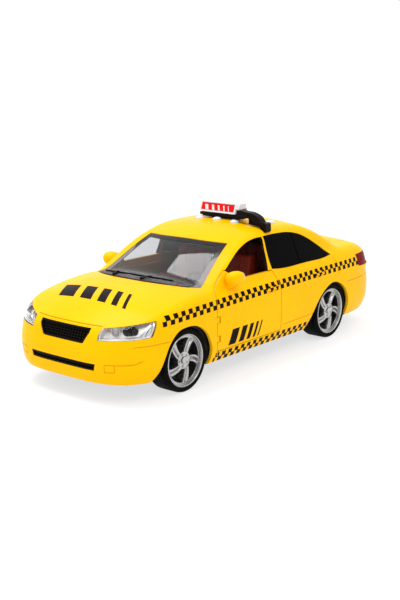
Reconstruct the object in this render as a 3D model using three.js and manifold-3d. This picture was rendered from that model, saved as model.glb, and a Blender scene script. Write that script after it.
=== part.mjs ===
// Friction-drive toy taxi: moulded saloon body with opening front doors, roof
// sign with push-buttons, friction motor on the rear axle.
// Millimetres. +X forward, +Y the car's left side, +Z up, ground at z = 0.
import * as THREE from "three";
import { mergeVertices } from "three/addons/utils/BufferGeometryUtils.js";
import Module from "manifold-3d";

const wasm = await Module();
wasm.setup();

// ---------------------------------------------------------------- dimensions
const SHIFT_X = 10.6; // the shapes below are written from the middle of the wheelbase
const WHEELBASE = 160;
const FRONT_X = WHEELBASE / 2;
const REAR_X = -WHEELBASE / 2;
const TYRE_R = 19.4;
const TYRE_IN_R = 16.5;
const WHEEL_OUT_Y = 53.0;
const WHEEL_IN_Y = 38.5;
const AXLE_R = 1.5;
const AXLE_Z = TYRE_R;
const BODY_BOTTOM_Z = 12.0;
const WALL = 2.0;
const DOOR_GAP = 0.5;
const HINGE_X = 50.6;
const HINGE_Y = 53.6;
const HINGE_PIN_R = 0.4;
const GLASS_T = 1.2;
const BUTTON_R = 3.2;
const BUTTON_TRAVEL = 1.2;
const GEAR_MODULE = 0.6;
const AXLE_TEETH = 30;
const PINION_TEETH = 12;
const COMPOUND_TEETH = 28;
const COMPOUND_ANGLE = 30; // degrees above the axle, towards the front
const FLYWHEEL_ANGLE = -10;
const COMPOUND_DIST = ((AXLE_TEETH + PINION_TEETH) / 2) * GEAR_MODULE + 0.1;
const FLYWHEEL_DIST = ((COMPOUND_TEETH + PINION_TEETH) / 2) * GEAR_MODULE + 0.1;
const SEATS_Z = 39.5;

// ------------------------------------------------------------- body surface
// Profile tables of the outer surface, joined by smooth cubics.
const FRONT = [[4, 123.6], [10, 128.3], [14, 130.2], [20, 130.9], [28, 130.9], [36, 129.4], [44, 127.8], [50, 126], [60, 120]]; // nose x against z
const REAR = [[4, 139.7], [10, 146.2], [16, 150.3], [26, 152.2], [35, 151.6], [41, 150.3], [50, 149.3], [57, 147.8], [66, 143.2]]; // tail -x against z
const HALF = [[4, 48.4], [10, 50.4], [14, 52.4], [19, 54], [30, 54.8], [42, 54.3], [49, 53.7], [54, 52.2], [60, 50]]; // half width against z
const DECK = [[-170, 52], [-148, 57.6], [-138, 60.8], [-125, 64.2], [-105, 65.2], [-60, 65], [-20, 62], [40, 59.5], [60, 61.2], [75, 60], [90, 57.8], [102, 55.4], [113, 51.2], [122, 46.8], [130, 43], [138, 35]]; // bonnet and boot z against x
const CROWN = [[-150, 4], [-100, 4.3], [0, 5.8], [60, 5], [95, 5.2], [135, 7.9]]; // fall of bonnet and boot at y = 50
const ROOF = [[-125, 52.4], [-105, 63.7], [-90, 73.3], [-75, 81], [-58, 85.4], [-40, 87.2], [-20, 87.6], [-5, 86.7], [10, 84], [22, 81.2], [35, 77.2]]; // roof z against x

function table(rows) {
  const n = rows.length, m = [];
  const d = rows.slice(1).map((r, i) => (r[1] - rows[i][1]) / (r[0] - rows[i][0]));
  for (let i = 0; i < n; i++) {
    if (i === 0) m.push(d[0]);
    else if (i === n - 1) m.push(d[n - 2]);
    else {
      const h0 = rows[i][0] - rows[i - 1][0], h1 = rows[i + 1][0] - rows[i][0];
      m.push((d[i - 1] * h1 + d[i] * h0) / (h0 + h1));
    }
  }
  return (v) => {
    v = Math.min(Math.max(v, rows[0][0]), rows[n - 1][0]);
    let i = 0;
    while (i < n - 2 && v > rows[i + 1][0]) i++;
    const h = rows[i + 1][0] - rows[i][0], s = (v - rows[i][0]) / h, s2 = s * s, s3 = s2 * s;
    return (2 * s3 - 3 * s2 + 1) * rows[i][1] + (s3 - 2 * s2 + s) * h * m[i] + (-2 * s3 + 3 * s2) * rows[i + 1][1] + (s3 - s2) * h * m[i + 1];
  };
}
const frontAt = table(FRONT), rearAt = table(REAR), halfAt = table(HALF), deckAt = table(DECK), crownAt = table(CROWN), roofAt = table(ROOF);
const smax = (a, b, k) => { const h = Math.max(k - Math.abs(a - b), 0) / k; return Math.max(a, b) + h * h * k * 0.25; };
const smin = (a, b, k) => -smax(-a, -b, k);

// Negative inside the body, close to a distance in millimetres.
function bodyField(x, y, z) {
  const ay = Math.abs(y), w = halfAt(z), f = frontAt(z), r = rearAt(z);
  const u = x > 76 ? (x - 76) / (f - 76) : x < -70 ? (-70 - x) / (r - 70) : 0;
  const p = x > 0 ? 3.6 : 4.5;
  const side = ((Math.max(u, 0) ** p + (ay / w) ** p) ** (1 / p) - 1) * w;
  const deck = (z - (deckAt(x) - crownAt(x) * (ay / 50) ** 2.2)) / Math.sqrt(1.12);
  const lower = smax(side, deck, 5.0);
  const screen = (x - (60.6 - 1.735 * (z - 56.5) - 7.6 * (ay / 41.6) ** 2)) / 2.0;
  const back = (-116 + 2.05 * (z - 61) + 5.8 * (ay / 41) ** 2 - x) / 2.28;
  const pane = (ay - (49.3 - 0.00025 * (x + 12) ** 2 - 0.32 * (z - 58))) * 0.95;
  const top = z - (roofAt(x) - 3.0 * (ay / 38) ** 2);
  let g = smax(screen, back, 4.0);
  g = smax(g, pane, 3.0);
  g = smax(g, top, 6.5);
  g = Math.max(g, 45 - z);
  return smin(lower, g, 2.5);
}

// ------------------------------------------------------------------ helpers
function geometryOf(positions, index) {
  const g = new THREE.BufferGeometry();
  g.setAttribute("position", new THREE.Float32BufferAttribute(positions, 3));
  g.setIndex(index);
  return g;
}
function solid(geometry) {
  let g = geometry.clone();
  g.deleteAttribute("normal");
  g.deleteAttribute("uv");
  g = mergeVertices(g, 1e-4);
  return new wasm.Manifold(new wasm.Mesh({ numProp: 3, vertProperties: new Float32Array(g.attributes.position.array), triVerts: new Uint32Array(g.index.array) }));
}
function fromSolid(s) {
  const m = s.getMesh();
  const pos = [];
  for (let i = 0; i < m.vertProperties.length / m.numProp; i++) for (let k = 0; k < 3; k++) pos.push(m.vertProperties[i * m.numProp + k]);
  const g = geometryOf(pos, Array.from(m.triVerts));
  g.computeVertexNormals();
  return g;
}
const box = (x0, x1, y0, y1, z0, z1) => solid(new THREE.BoxGeometry(x1 - x0, y1 - y0, z1 - z0).translate((x0 + x1) / 2, (y0 + y1) / 2, (z0 + z1) / 2));
// A cylinder along an axis: "x", "y" or "z", from a to b, centred at (p, q) in the other two axes in x, y, z order.
function rod(axis, r, a, b, p, q, n = 20, r2 = r) {
  const g = new THREE.CylinderGeometry(r2, r, b - a, n);
  if (axis === "y") g.rotateY(Math.PI / n).translate(p, (a + b) / 2, q);
  if (axis === "z") g.rotateX(Math.PI / 2).translate(p, q, (a + b) / 2);
  if (axis === "x") g.rotateZ(-Math.PI / 2).translate((a + b) / 2, p, q);
  return solid(g);
}
// An outline extruded along an axis. "y": points are (x, z); "x": (y, z); "z": (x, y).
function prism(axis, points, a, b) {
  const s = new THREE.Shape(points.map((p) => new THREE.Vector2(axis === "y" ? -p[0] : p[0], p[1])));
  const g = new THREE.ExtrudeGeometry(s, { depth: b - a, bevelEnabled: false, steps: 1 });
  const m = new THREE.Matrix4();
  if (axis === "y") m.makeBasis(new THREE.Vector3(-1, 0, 0), new THREE.Vector3(0, 0, 1), new THREE.Vector3(0, 1, 0)).setPosition(0, a, 0);
  if (axis === "x") m.makeBasis(new THREE.Vector3(0, 1, 0), new THREE.Vector3(0, 0, 1), new THREE.Vector3(1, 0, 0)).setPosition(a, 0, 0);
  if (axis === "z") m.setPosition(0, 0, a);
  return solid(g.applyMatrix4(m));
}
// The same outline moved outwards (d > 0) or inwards (d < 0) along its corners' bisectors.
function grow(points, d) {
  const n = points.length;
  let area = 0;
  for (let i = 0; i < n; i++) { const a = points[i], b = points[(i + 1) % n]; area += a[0] * b[1] - b[0] * a[1]; }
  const s = area > 0 ? 1 : -1;
  return points.map((p, i) => {
    const a = points[(i + n - 1) % n], b = points[(i + 1) % n];
    const u = new THREE.Vector2(p[0] - a[0], p[1] - a[1]).normalize(), v = new THREE.Vector2(b[0] - p[0], b[1] - p[1]).normalize();
    const nu = new THREE.Vector2(u.y, -u.x), nv = new THREE.Vector2(v.y, -v.x);
    const bis = nu.clone().add(nv).normalize();
    const k = Math.min(1 / Math.max(bis.dot(nu), 0.3), 2.2);
    return [p[0] + s * d * k * bis.x, p[1] + s * d * k * bis.y];
  });
}
function lathe(profile, n, axis = "y") {
  // profile: (radius, height along the axis)
  const g = new THREE.LatheGeometry(profile.map((p) => new THREE.Vector2(p[0], p[1])), n);
  if (axis === "z") g.rotateX(Math.PI / 2);
  return g;
}
function mirrored(geometry) {
  const g = geometry.clone();
  const a = g.attributes.position.array;
  for (let i = 1; i < a.length; i += 3) a[i] = -a[i];
  const ix = g.index.array;
  for (let i = 0; i < ix.length; i += 3) [ix[i + 1], ix[i + 2]] = [ix[i + 2], ix[i + 1]];
  g.computeVertexNormals();
  return g;
}

// The whole body as one closed form, its surface moved inwards by inset.
function hull(inset, bottom, nu = 20, nlow = 3, nup = 7) {
  const zc = 34, xf = 62, xb = -66, la = 0.36;
  const rows = nlow + nup + 1;
  const pts = [];
  for (let i = 0; i <= nu; i++) {
    const u = i / nu;
    const phi = u < la ? (u / la) * Math.PI / 2 : u > 1 - la ? Math.PI / 2 + ((u - 1 + la) / la) * Math.PI / 2 : Math.PI / 2;
    const sx = u < la ? xf : u > 1 - la ? xb : xf + ((xb - xf) * (u - la)) / (1 - 2 * la);
    for (let j = 0; j < rows; j++) {
      const low = j < nlow;
      const el = low ? 0 : ((j - nlow) / nup) * (Math.PI / 2);
      const z0 = low ? bottom + ((zc - bottom) * j) / nlow : zc;
      const dx = Math.cos(phi) * Math.cos(el), dy = Math.sin(phi) * Math.cos(el), dz = Math.sin(el);
      let lo = 0, hi = 130;
      for (let k = 0; k < 26; k++) {
        const mid = (lo + hi) / 2;
        if (bodyField(sx + dx * mid, dy * mid, z0 + dz * mid) + inset < 0) lo = mid; else hi = mid;
      }
      pts.push([sx + dx * lo, dy * lo, z0 + dz * lo]);
    }
  }
  const pos = [], ix = [];
  const at = (i, j, s) => s * (nu + 1) * rows + i * rows + j;
  for (const s of [1, -1]) for (const p of pts) pos.push(p[0], Math.abs(p[1]) < 1e-6 ? 0 : s * p[1], p[2]);
  for (let i = 0; i < nu; i++) {
    for (let j = 0; j < rows - 1; j++) {
      ix.push(at(i, j, 0), at(i + 1, j, 0), at(i + 1, j + 1, 0), at(i, j, 0), at(i + 1, j + 1, 0), at(i, j + 1, 0));
      ix.push(at(i, j, 1), at(i + 1, j + 1, 1), at(i + 1, j, 1), at(i, j, 1), at(i, j + 1, 1), at(i + 1, j + 1, 1));
    }
    ix.push(at(i, 0, 0), at(i, 0, 1), at(i + 1, 0, 1), at(i, 0, 0), at(i + 1, 0, 1), at(i + 1, 0, 0));
  }
  // Drop triangles that have collapsed on the poles and on the ridge.
  const g = mergeVertices(geometryOf(pos, ix), 1e-3);
  const keep = [], a = g.index.array;
  for (let i = 0; i < a.length; i += 3) if (a[i] !== a[i + 1] && a[i + 1] !== a[i + 2] && a[i] !== a[i + 2]) keep.push(a[i], a[i + 1], a[i + 2]);
  g.setIndex(keep);
  return g;
}
const hullSolid = (inset, bottom) => {
  const s = solid(hull(inset, bottom));
  return s;
};

// ----------------------------------------------------------------- outlines
const DOOR = [[-15.6, 19], [51.6, 19], [52.0, 25], [52.0, 36], [51.7, 45.5], [51.0, 50.5], [49.1, 54.9], [45.2, 58.6], [40.8, 61.7], [34.0, 65.6], [29.5, 62.4], [26.0, 58.9], [-12.2, 58.9], [-14.2, 53], [-15.9, 44], [-15.9, 34]];
const FRONT_WINDOW = [[34.0, 65.5], [28.3, 69.0], [21.4, 73.0], [14.2, 76.4], [4.6, 79.4], [-3.8, 80.6], [-10.6, 80.7], [-9.6, 73.1], [-9.2, 65.4], [-8.2, 58.5], [26.0, 58.0]];
const REAR_WINDOW = [[-12.9, 80.9], [-26.7, 80.9], [-43.4, 79.6], [-52.1, 77.5], [-60.5, 74.0], [-68.9, 69.4], [-77.2, 64.2], [-84.0, 59.2], [-75.4, 58.4], [-52.1, 58.4], [-22.6, 58.4], [-13.4, 59.6], [-12.4, 66]];
const SCREEN = [[14.2, 32.9], [24.8, 35.2], [34.6, 37.4], [44.0, 39.6], [54.0, 42.6], [60.0, 39.0], [66.0, 29.5], [70.5, 16.0], [71.8, 0.0], [70.5, -16.0], [66.0, -29.5], [60.0, -39.0], [54.0, -42.6], [44.0, -39.6], [34.6, -37.4], [24.8, -35.2], [14.2, -32.9], [17.0, -20], [18.2, 0], [17.0, 20]];
const BACK_SCREEN = [[-86, 27.5], [-109, 33.5], [-111.5, 20], [-112.5, 0], [-111.5, -20], [-109, -33.5], [-86, -27.5], [-83.5, -14], [-82.8, 0], [-83.5, 14]];
const GRILLE = [[-20.6, 43.4], [20.6, 43.4], [20.4, 40.7], [16.8, 34.6], [15.4, 34.2], [-15.4, 34.2], [-16.8, 34.6], [-20.4, 40.7]];
const INTAKE = [[-26.6, 23.8], [26.6, 23.8], [25.6, 19.7], [-25.6, 19.7]];
const LAMP_FRONT = [[27.3, 43.9], [35.0, 44.9], [44.1, 46.6], [50.6, 48.1], [53.0, 47.6], [53.4, 40.6], [51.0, 39.2], [46.6, 38.7], [37.5, 37.9], [27.0, 37.2], [26.6, 41.2]]; // (y, z)
const LAMP_SIDE = [[103.4, 48.2], [104.3, 45.9], [108.3, 39.2], [111, 38.6], [135, 36], [135, 50]]; // (x, z)
const TAIL_SIDE = [[-115.2, 54.9], [-155, 55.2], [-155, 45.2], [-131, 45.3], [-117.4, 46.2]]; // (x, z)
const TAIL_BACK = [[30, 54.9], [56, 54.9], [56, 45.2], [30, 46.4]]; // (y, z)
const ARCH_FRONT = [[56.9, 5], [57.2, 12], [56.6, 18], [57.5, 24], [62.6, 33.5], [71.9, 39.4], [80, 40.4], [88.2, 39.2], [95.5, 33.5], [99.8, 26.0], [104, 17], [107.5, 12], [107.5, 5]];
const ARCH_REAR = [[-101, 5], [-101, 12], [-101.6, 18], [-100.8, 26.6], [-94.8, 35.2], [-87, 39.4], [-80, 40.4], [-73.3, 38.6], [-65, 33.8], [-58, 27], [-52.7, 19.9], [-47.5, 12], [-47.5, 5]];

// ---------------------------------------------------------------- the model
const car = new THREE.Group();
car.position.x = SHIFT_X;
function add(name, geometry, color, roughness = 0.4, metalness = 0, extra = {}) {
  const g = geometry.isBufferGeometry ? geometry : fromSolid(geometry);
  const mesh = new THREE.Mesh(g, new THREE.MeshStandardMaterial({ color, roughness, metalness, ...extra }));
  mesh.name = name;
  car.add(mesh);
  return mesh;
}
const YELLOW = 0xfdc905, BLACK = 0x16130f, WHITE = 0xf0eee8, RED = 0xc81e2c, STEEL = 0xb9bcc0;

const outer = hullSolid(0, BODY_BOTTOM_Z);
const inner = hullSolid(WALL, BODY_BOTTOM_Z - 3);
const shell = outer.subtract(inner);

// Roof buttons: three in a row at the front edge of the sign bar, one behind the arm.
const BUTTONS = [[-16.4, 15], [-16.4, 0], [-16.4, -15], [-38, 29]];

// Body shell
let body = shell;
const doorCutL = prism("y", grow(DOOR, DOOR_GAP), 43, 70);
const doorCutR = prism("y", grow(DOOR, DOOR_GAP), -70, -43);
const knuckleZ = [[25, 28.5], [37, 40.5]];
body = body.subtract(doorCutL).subtract(doorCutR);
for (const [w, g] of [[FRONT_WINDOW, 0], [REAR_WINDOW, 0]]) body = body.subtract(prism("y", grow(w, g), 37.5, 70)).subtract(prism("y", grow(w, g), -70, -37.5));
body = body.subtract(prism("z", SCREEN, 56, 90)).subtract(prism("z", BACK_SCREEN, 60, 90));
body = body.subtract(prism("x", GRILLE, 110, 140)).subtract(prism("x", INTAKE, 110, 140));
const lampL = prism("x", LAMP_FRONT, 98, 140).intersect(prism("y", LAMP_SIDE, 20, 70));
const lampR = solid(mirrored(fromSolid(lampL)));
body = body.subtract(lampL).subtract(lampR);
const tailL = prism("y", TAIL_SIDE, 30, 70).intersect(prism("x", TAIL_BACK, -160, -110));
const tailR = solid(mirrored(fromSolid(tailL)));
body = body.subtract(tailL).subtract(tailR);
for (const a of [ARCH_FRONT, ARCH_REAR]) body = body.subtract(prism("y", a, 34, 70)).subtract(prism("y", a, -70, -34));
for (const [x, y] of BUTTONS) body = body.subtract(rod("z", BUTTON_R + 0.4, 70, 95, x, y, 16));
for (const y of [-8, 8]) body = body.subtract(rod("z", 2.0, 75, 95, -24, y, 12));
// Hinge knuckles on the wings' rear edges
for (const s of [1, -1]) {
  for (const [a, b] of knuckleZ) {
    const y = s * HINGE_Y;
    body = body.add(rod("z", 1.0, a, b, HINGE_X, y, 16)).add(box(HINGE_X, 53.2, Math.min(y - 0.95, y + 0.95), Math.max(y - 0.95, y + 0.95), a, b));
  }
  body = body.subtract(rod("z", HINGE_PIN_R + 0.22, 15, 60, HINGE_X, s * HINGE_Y, 12));
}
// Screw bosses under the bonnet and the boot
const SCREWS = [[112, 0], [-122, 0]];
for (const [x, y] of SCREWS) {
  body = body.add(rod("z", 3.2, 13.6, x > 0 ? 50.4 : 63, x, y, 14)).subtract(rod("z", 1.3, 10, 26, x, y, 12));
}
add("body_shell", body, YELLOW, 0.28);

// Doors
function door() {
  let d = shell.intersect(prism("y", DOOR, 43.5, 70));
  d = d.add(rod("z", 1.25, 19.6, 45, HINGE_X - 0.1, HINGE_Y - 0.5, 14).intersect(outer));
  for (const [a, b] of knuckleZ) d = d.subtract(box(49.0, 54, 45, 60, a - 0.35, b + 0.35));
  d = d.subtract(rod("z", HINGE_PIN_R + 0.22, 10, 46, HINGE_X, HINGE_Y, 12));
  // inner stiffening rib along the sill of the window
  d = d.add(box(-11, 40, 45.2, 49.5, 52.5, 54).intersect(hullSolid(0.6, BODY_BOTTOM_Z)));
  return d;
}
const doorL = fromSolid(door());
add("left_front_door", doorL, YELLOW, 0.28);
add("right_front_door", mirrored(doorL), YELLOW, 0.28);
for (const [n, s] of [["left", 1], ["right", -1]]) add(`${n}_door_hinge_pin`, rod("z", HINGE_PIN_R, 24.6, 40.9, HINGE_X, s * HINGE_Y, 10), STEEL, 0.3, 1);

// Door mirrors, each on a short stalk out of its door
function mirror() {
  const g = new THREE.SphereGeometry(1, 14, 8);
  g.scale(6.0, 6.6, 4.6);
  let m = solid(g.translate(32.5, 53.2, 61.6)).intersect(box(27.6, 45, 44, 62, 50, 70));
  m = m.add(prism("x", [[49.9, 55.4], [52.6, 54.6], [55.5, 58.6], [50.5, 60.5]], 30.0, 36.5));
  return m.subtract(hullSolid(-0.35, BODY_BOTTOM_Z));
}
const mirrorL = fromSolid(mirror());
add("left_mirror", mirrorL, YELLOW, 0.28);
add("right_mirror", mirrored(mirrorL), YELLOW, 0.28);

// Glazing
const glassOut = hullSolid(0.25, BODY_BOTTOM_Z), glassIn = hullSolid(0.25 + GLASS_T, BODY_BOTTOM_Z - 3);
const glassShell = glassOut.subtract(glassIn);
add("windscreen", glassShell.intersect(prism("z", grow(SCREEN, -0.4), 56, 90)), 0x9aa4a8, 0.05, 0, { transparent: true, opacity: 0.4 });
add("rear_screen", glassShell.intersect(prism("z", grow(BACK_SCREEN, -0.4), 60, 90)), BLACK, 0.08);
const sideGlass = fromSolid(glassShell.intersect(prism("y", grow(REAR_WINDOW, -0.35), 37.8, 70)));
add("left_rear_side_glass", sideGlass, BLACK, 0.08);
add("right_rear_side_glass", mirrored(sideGlass), BLACK, 0.08);

// Wiper cowl: a strip on the foot of the screen with two arms standing on it
const COWL = [[57.5, -38.5], [63.0, -31.5], [67.2, -20], [69.3, -8], [69.8, 0], [69.3, 8], [67.2, 20], [63.0, 31.5], [57.5, 38.5], [54.0, 38.2], [59.5, 28], [63.0, 18], [65.4, 0], [63.0, -18], [59.5, -28], [54.0, -38.2]];
let cowl = hullSolid(-0.75, BODY_BOTTOM_Z).subtract(hullSolid(-0.1, BODY_BOTTOM_Z - 3)).intersect(prism("z", COWL, 55, 70));
add("wiper_cowl", cowl, 0x2a2a2c, 0.5);

// Nose
add("grille", hullSolid(0.5, BODY_BOTTOM_Z).subtract(hullSolid(1.9, BODY_BOTTOM_Z - 3)).intersect(prism("x", grow(GRILLE, -0.35), 110, 140)), BLACK, 0.5);
add("lower_intake", hullSolid(0.9, BODY_BOTTOM_Z).subtract(hullSolid(1.9, BODY_BOTTOM_Z - 3)).intersect(prism("x", grow(INTAKE, -0.35), 110, 140)), BLACK, 0.5);
const lampInL = prism("x", grow(LAMP_FRONT, -0.35), 98.4, 140).intersect(prism("y", grow(LAMP_SIDE, -0.35), 20, 70));
const lens = fromSolid(hullSolid(0.1, BODY_BOTTOM_Z).subtract(hullSolid(1.1, BODY_BOTTOM_Z - 3)).intersect(lampInL));
const reflector = fromSolid(hullSolid(3.2, BODY_BOTTOM_Z).subtract(hullSolid(4.6, BODY_BOTTOM_Z - 3)).intersect(lampInL));
add("left_headlamp_lens", lens, 0xe8eef0, 0.05, 0, { transparent: true, opacity: 0.4 });
add("right_headlamp_lens", mirrored(lens), 0xe8eef0, 0.05, 0, { transparent: true, opacity: 0.4 });
add("left_headlamp_reflector", reflector, STEEL, 0.15, 1);
add("right_headlamp_reflector", mirrored(reflector), STEEL, 0.15, 1);
const tail = fromSolid(hullSolid(0.05, BODY_BOTTOM_Z).subtract(hullSolid(1.8, BODY_BOTTOM_Z - 3)).intersect(prism("y", grow(TAIL_SIDE, -0.35), 30, 70).intersect(prism("x", grow(TAIL_BACK, -0.35), -160, -110))));
add("left_tail_lamp", tail, RED, 0.15);
add("right_tail_lamp", mirrored(tail), RED, 0.15);

// Roof module
const BAR_FRONT = -18.6, BAR_BACK = -29;
let bar = box(BAR_BACK, BAR_FRONT, -16.8, 16.8, 89.2, 91.4);
for (const y of [-8, 8]) bar = bar.add(rod("z", 1.6, 83, 90, -24, y, 12));
const ARM = [[14, 89.4], [17, 92.0], [17, 94.6], [24, 94.9], [30.5, 94.4], [35.6, 92.3], [38.3, 89.2], [41.8, 89.6], [42.6, 82.6], [40.6, 81.6], [36.2, 85.4], [27.0, 87.0], [27.0, 90.4], [22, 89.4]];
bar = bar.add(prism("x", ARM, -21.4, -15.4).subtract(hullSolid(-0.3, BODY_BOTTOM_Z)));
add("roof_bar", bar, BLACK, 0.35);
const SIGN = [[-18.2, 91.8], [-20.6, 98.7], [-27.0, 98.7], [-29.4, 91.8]];
// a strip along the sloping face, from s0 to s1 up the slope and d0 to d1 out of it
const onFace = (foot, top) => (s0, s1, d0, d1) => {
  const l = Math.hypot(top[0] - foot[0], top[1] - foot[1]), t = [(top[0] - foot[0]) / l, (top[1] - foot[1]) / l];
  const n = foot[0] > top[0] ? [t[1], -t[0]] : [-t[1], t[0]];
  return [[s0, d0], [s0, d1], [s1, d1], [s1, d0]].map(([u, d]) => [foot[0] + t[0] * u + n[0] * d, foot[1] + t[1] * u + n[1] * d]);
};
const face = onFace(SIGN[0], SIGN[1]), backFace = onFace(SIGN[3], SIGN[2]);
let sign = prism("y", SIGN, -17.4, 16.4);
sign = sign.subtract(prism("y", face(1.2, 6.5, -1.0, 1.0), -15.8, 12.2));
sign = sign.subtract(prism("y", backFace(1.2, 6.5, -1.0, 1.0), -13.8, 13.8));
sign = sign.subtract(box(BAR_BACK + 1, BAR_FRONT + 4, 13.6, 30, 91, 95.2));
sign = sign.subtract(prism("y", [[-21.2, 91], [-22.4, 96.8], [-25.2, 96.8], [-26.4, 91]], -14.5, 12.0)); // hollow underside
add("sign_housing", sign, WHITE, 0.35);
add("sign_front_panel", prism("y", face(1.5, 6.2, -0.7, 0.05), -15.5, 11.9), RED, 0.3);
add("sign_rear_panel", prism("y", backFace(1.5, 6.2, -0.7, 0.05), -13.5, 13.5), RED, 0.3);

BUTTONS.forEach(([x, y], i) => {
  let roofZ = 95;
  while (bodyField(x, y, roofZ) > 0) roofZ -= 0.05;
  const f = i === 3 ? -4.9 : -3.1; // the flange under the roof, lower where the roof falls away
  const g = lathe([[0, -7.6], [1.4, -7.6], [1.4, f - 0.8], [BUTTON_R + 1.1, f - 0.8], [BUTTON_R + 1.1, f], [BUTTON_R, f], [BUTTON_R, 0.5], [BUTTON_R * 0.86, 1.1], [BUTTON_R * 0.5, 1.5], [0, 1.65]], 10, "z");
  add(`sound_button_${i + 1}`, solid(g.translate(x, y, roofZ)), WHITE, 0.3);
});
add("circuit_board", box(-46, -8, -23, 34, 74.8, 76.0), 0x2f6a3a, 0.6);

// Chassis
const plate = [];
{
  const N = 44;
  for (let i = 0; i < N; i++) {
    const a = (i / N) * 2 * Math.PI;
    const sx = Math.abs(Math.cos(a)) < 1e-9 ? 0 : 0;
    let lo = 0, hi = 200;
    const dx = Math.cos(a) * 2.6, dy = Math.sin(a);
    for (let k = 0; k < 30; k++) { const m = (lo + hi) / 2; if (bodyField(sx + dx * m, dy * m, 12.6) + WALL + 1.7 < 0) lo = m; else hi = m; }
    plate.push([sx + dx * lo, dy * lo]);
  }
}
let chassis = prism("z", plate, 10.6, 12.8);
for (const x of [FRONT_X, REAR_X]) for (const s of [1, -1]) {
  chassis = chassis.subtract(box(x - 24.5, x + 24.5, s > 0 ? 35 : -60, s > 0 ? 60 : -35, 5, 20));
  chassis = chassis.add(box(x - 4, x + 4, s > 0 ? 26 : -34, s > 0 ? 34 : -26, 10.6, 23.6)).subtract(rod("y", AXLE_R + 0.3, s > 0 ? 20 : -36, s > 0 ? 36 : -20, x, AXLE_Z, 12));
}
// wheel tubs: curved covers over the wheels
for (const x of [FRONT_X, REAR_X]) for (const s of [1, -1]) {
  const tub = prism("y", Array.from({ length: 10 }, (_, i) => { const a = (-10 + (200 * i) / 9) * Math.PI / 180; return [x + 25.2 * Math.cos(a), 16.5 + 24.6 * Math.sin(a)]; }), s > 0 ? 33.6 : -50.5, s > 0 ? 50.5 : -33.6)
    .subtract(prism("y", Array.from({ length: 10 }, (_, i) => { const a = (-14 + (208 * i) / 9) * Math.PI / 180; return [x + 23.9 * Math.cos(a), 16.5 + 23.3 * Math.sin(a)]; }), s > 0 ? 35.0 : -60, s > 0 ? 60 : -35.0))
    .subtract(box(x - 40, x + 40, s > 0 ? 33 : -60, s > 0 ? 60 : -33, 0, 10.6));
  chassis = chassis.add(tub.intersect(hullSolid(WALL + 0.6, BODY_BOTTOM_Z - 3)));
  chassis = chassis.subtract(rod("y", AXLE_R + 0.3, s > 0 ? 20 : -36, s > 0 ? 36 : -20, x, AXLE_Z, 12));
}
chassis = chassis.subtract(box(-94, -41, -13.1, 13.1, 5, 20)); // gearbox well
// battery box, open below
chassis = chassis.add(box(-33, 2, -8.6, 8.6, 10.6, 26)).subtract(box(-31.4, 0.4, -7, 7, 5, 24.4));
// speaker ring with slots below it
chassis = chassis.add(rod("z", 16, 12, 16.4, 30, 0, 20)).subtract(rod("z", 14.6, 12.8, 20, 30, 0, 20));
for (const y of [-9, -4.5, 0, 4.5, 9]) chassis = chassis.subtract(box(30 - (11 - Math.abs(y) * 0.5), 30 + (11 - Math.abs(y) * 0.5), y - 0.9, y + 0.9, 9, 14));
for (const [x, y] of SCREWS) chassis = chassis.subtract(rod("z", 1.6, 8, 15, x, y, 12)).subtract(rod("z", 3.0, 8, 11.6, x, y, 12));
// battery cover screw boss
chassis = chassis.add(rod("z", 3.2, 11, 20, 7.2, 0, 12)).subtract(rod("z", 1.2, 8, 18, 7.2, 0, 12)).subtract(box(-0.2, 11.2, -5.4, 5.4, 8, 12.1));
// posts for the cabin tray
for (const [x, y] of [[40, 30], [40, -30], [-40, 36], [-40, -36]]) chassis = chassis.add(rod("z", 2.6, 12, SEATS_Z - 2.4, x, y, 12));
add("chassis", chassis, 0x1b1b1d, 0.55);
SCREWS.forEach(([x, y], i) => add(`chassis_screw_${i + 1}`, solid(lathe([[0, 10.0], [2.5, 10.0], [2.6, 11.3], [1.0, 11.3], [1.0, 22], [0, 23]].map((p) => p), 14, "z").translate(x, y, 0)), STEEL, 0.35, 1));
add("battery_cover", box(-31, 10.8, -6.6, 6.6, 10.4, 11.7).subtract(box(0, 12, 5.1, 8, 9, 13)).subtract(box(0, 12, -8, -5.1, 9, 13)).subtract(rod("z", 1.5, 9, 13, 7.2, 0, 12)), 0x1b1b1d, 0.55);
add("battery_cover_screw", solid(lathe([[0, 9.0], [2.4, 9.0], [2.4, 10.1], [0.9, 10.1], [0.9, 17], [0, 17.6]], 14, "z").translate(7.2, 0, 0)), STEEL, 0.35, 1);
for (let i = 0; i < 3; i++) add(`button_cell_${i + 1}`, rod("x", 5.8, -26.5 + i * 5.8, -21.1 + i * 5.8, 0, 18, 16), STEEL, 0.25, 1);
add("speaker", solid(lathe([[0, 13.8], [12, 13.2], [14, 13.2], [14, 15.2], [9, 19.2], [6.5, 19.2], [6.5, 22], [0, 22]], 18, "z").translate(30, 0, 0)), 0x8a8d90, 0.4, 0.6);

// Axles
const axle = (x) => rod("y", AXLE_R, -44.5, 44.5, x, AXLE_Z, 12);
add("front_axle", axle(FRONT_X), STEEL, 0.3, 1);
add("rear_axle", axle(REAR_X), STEEL, 0.3, 1);

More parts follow.
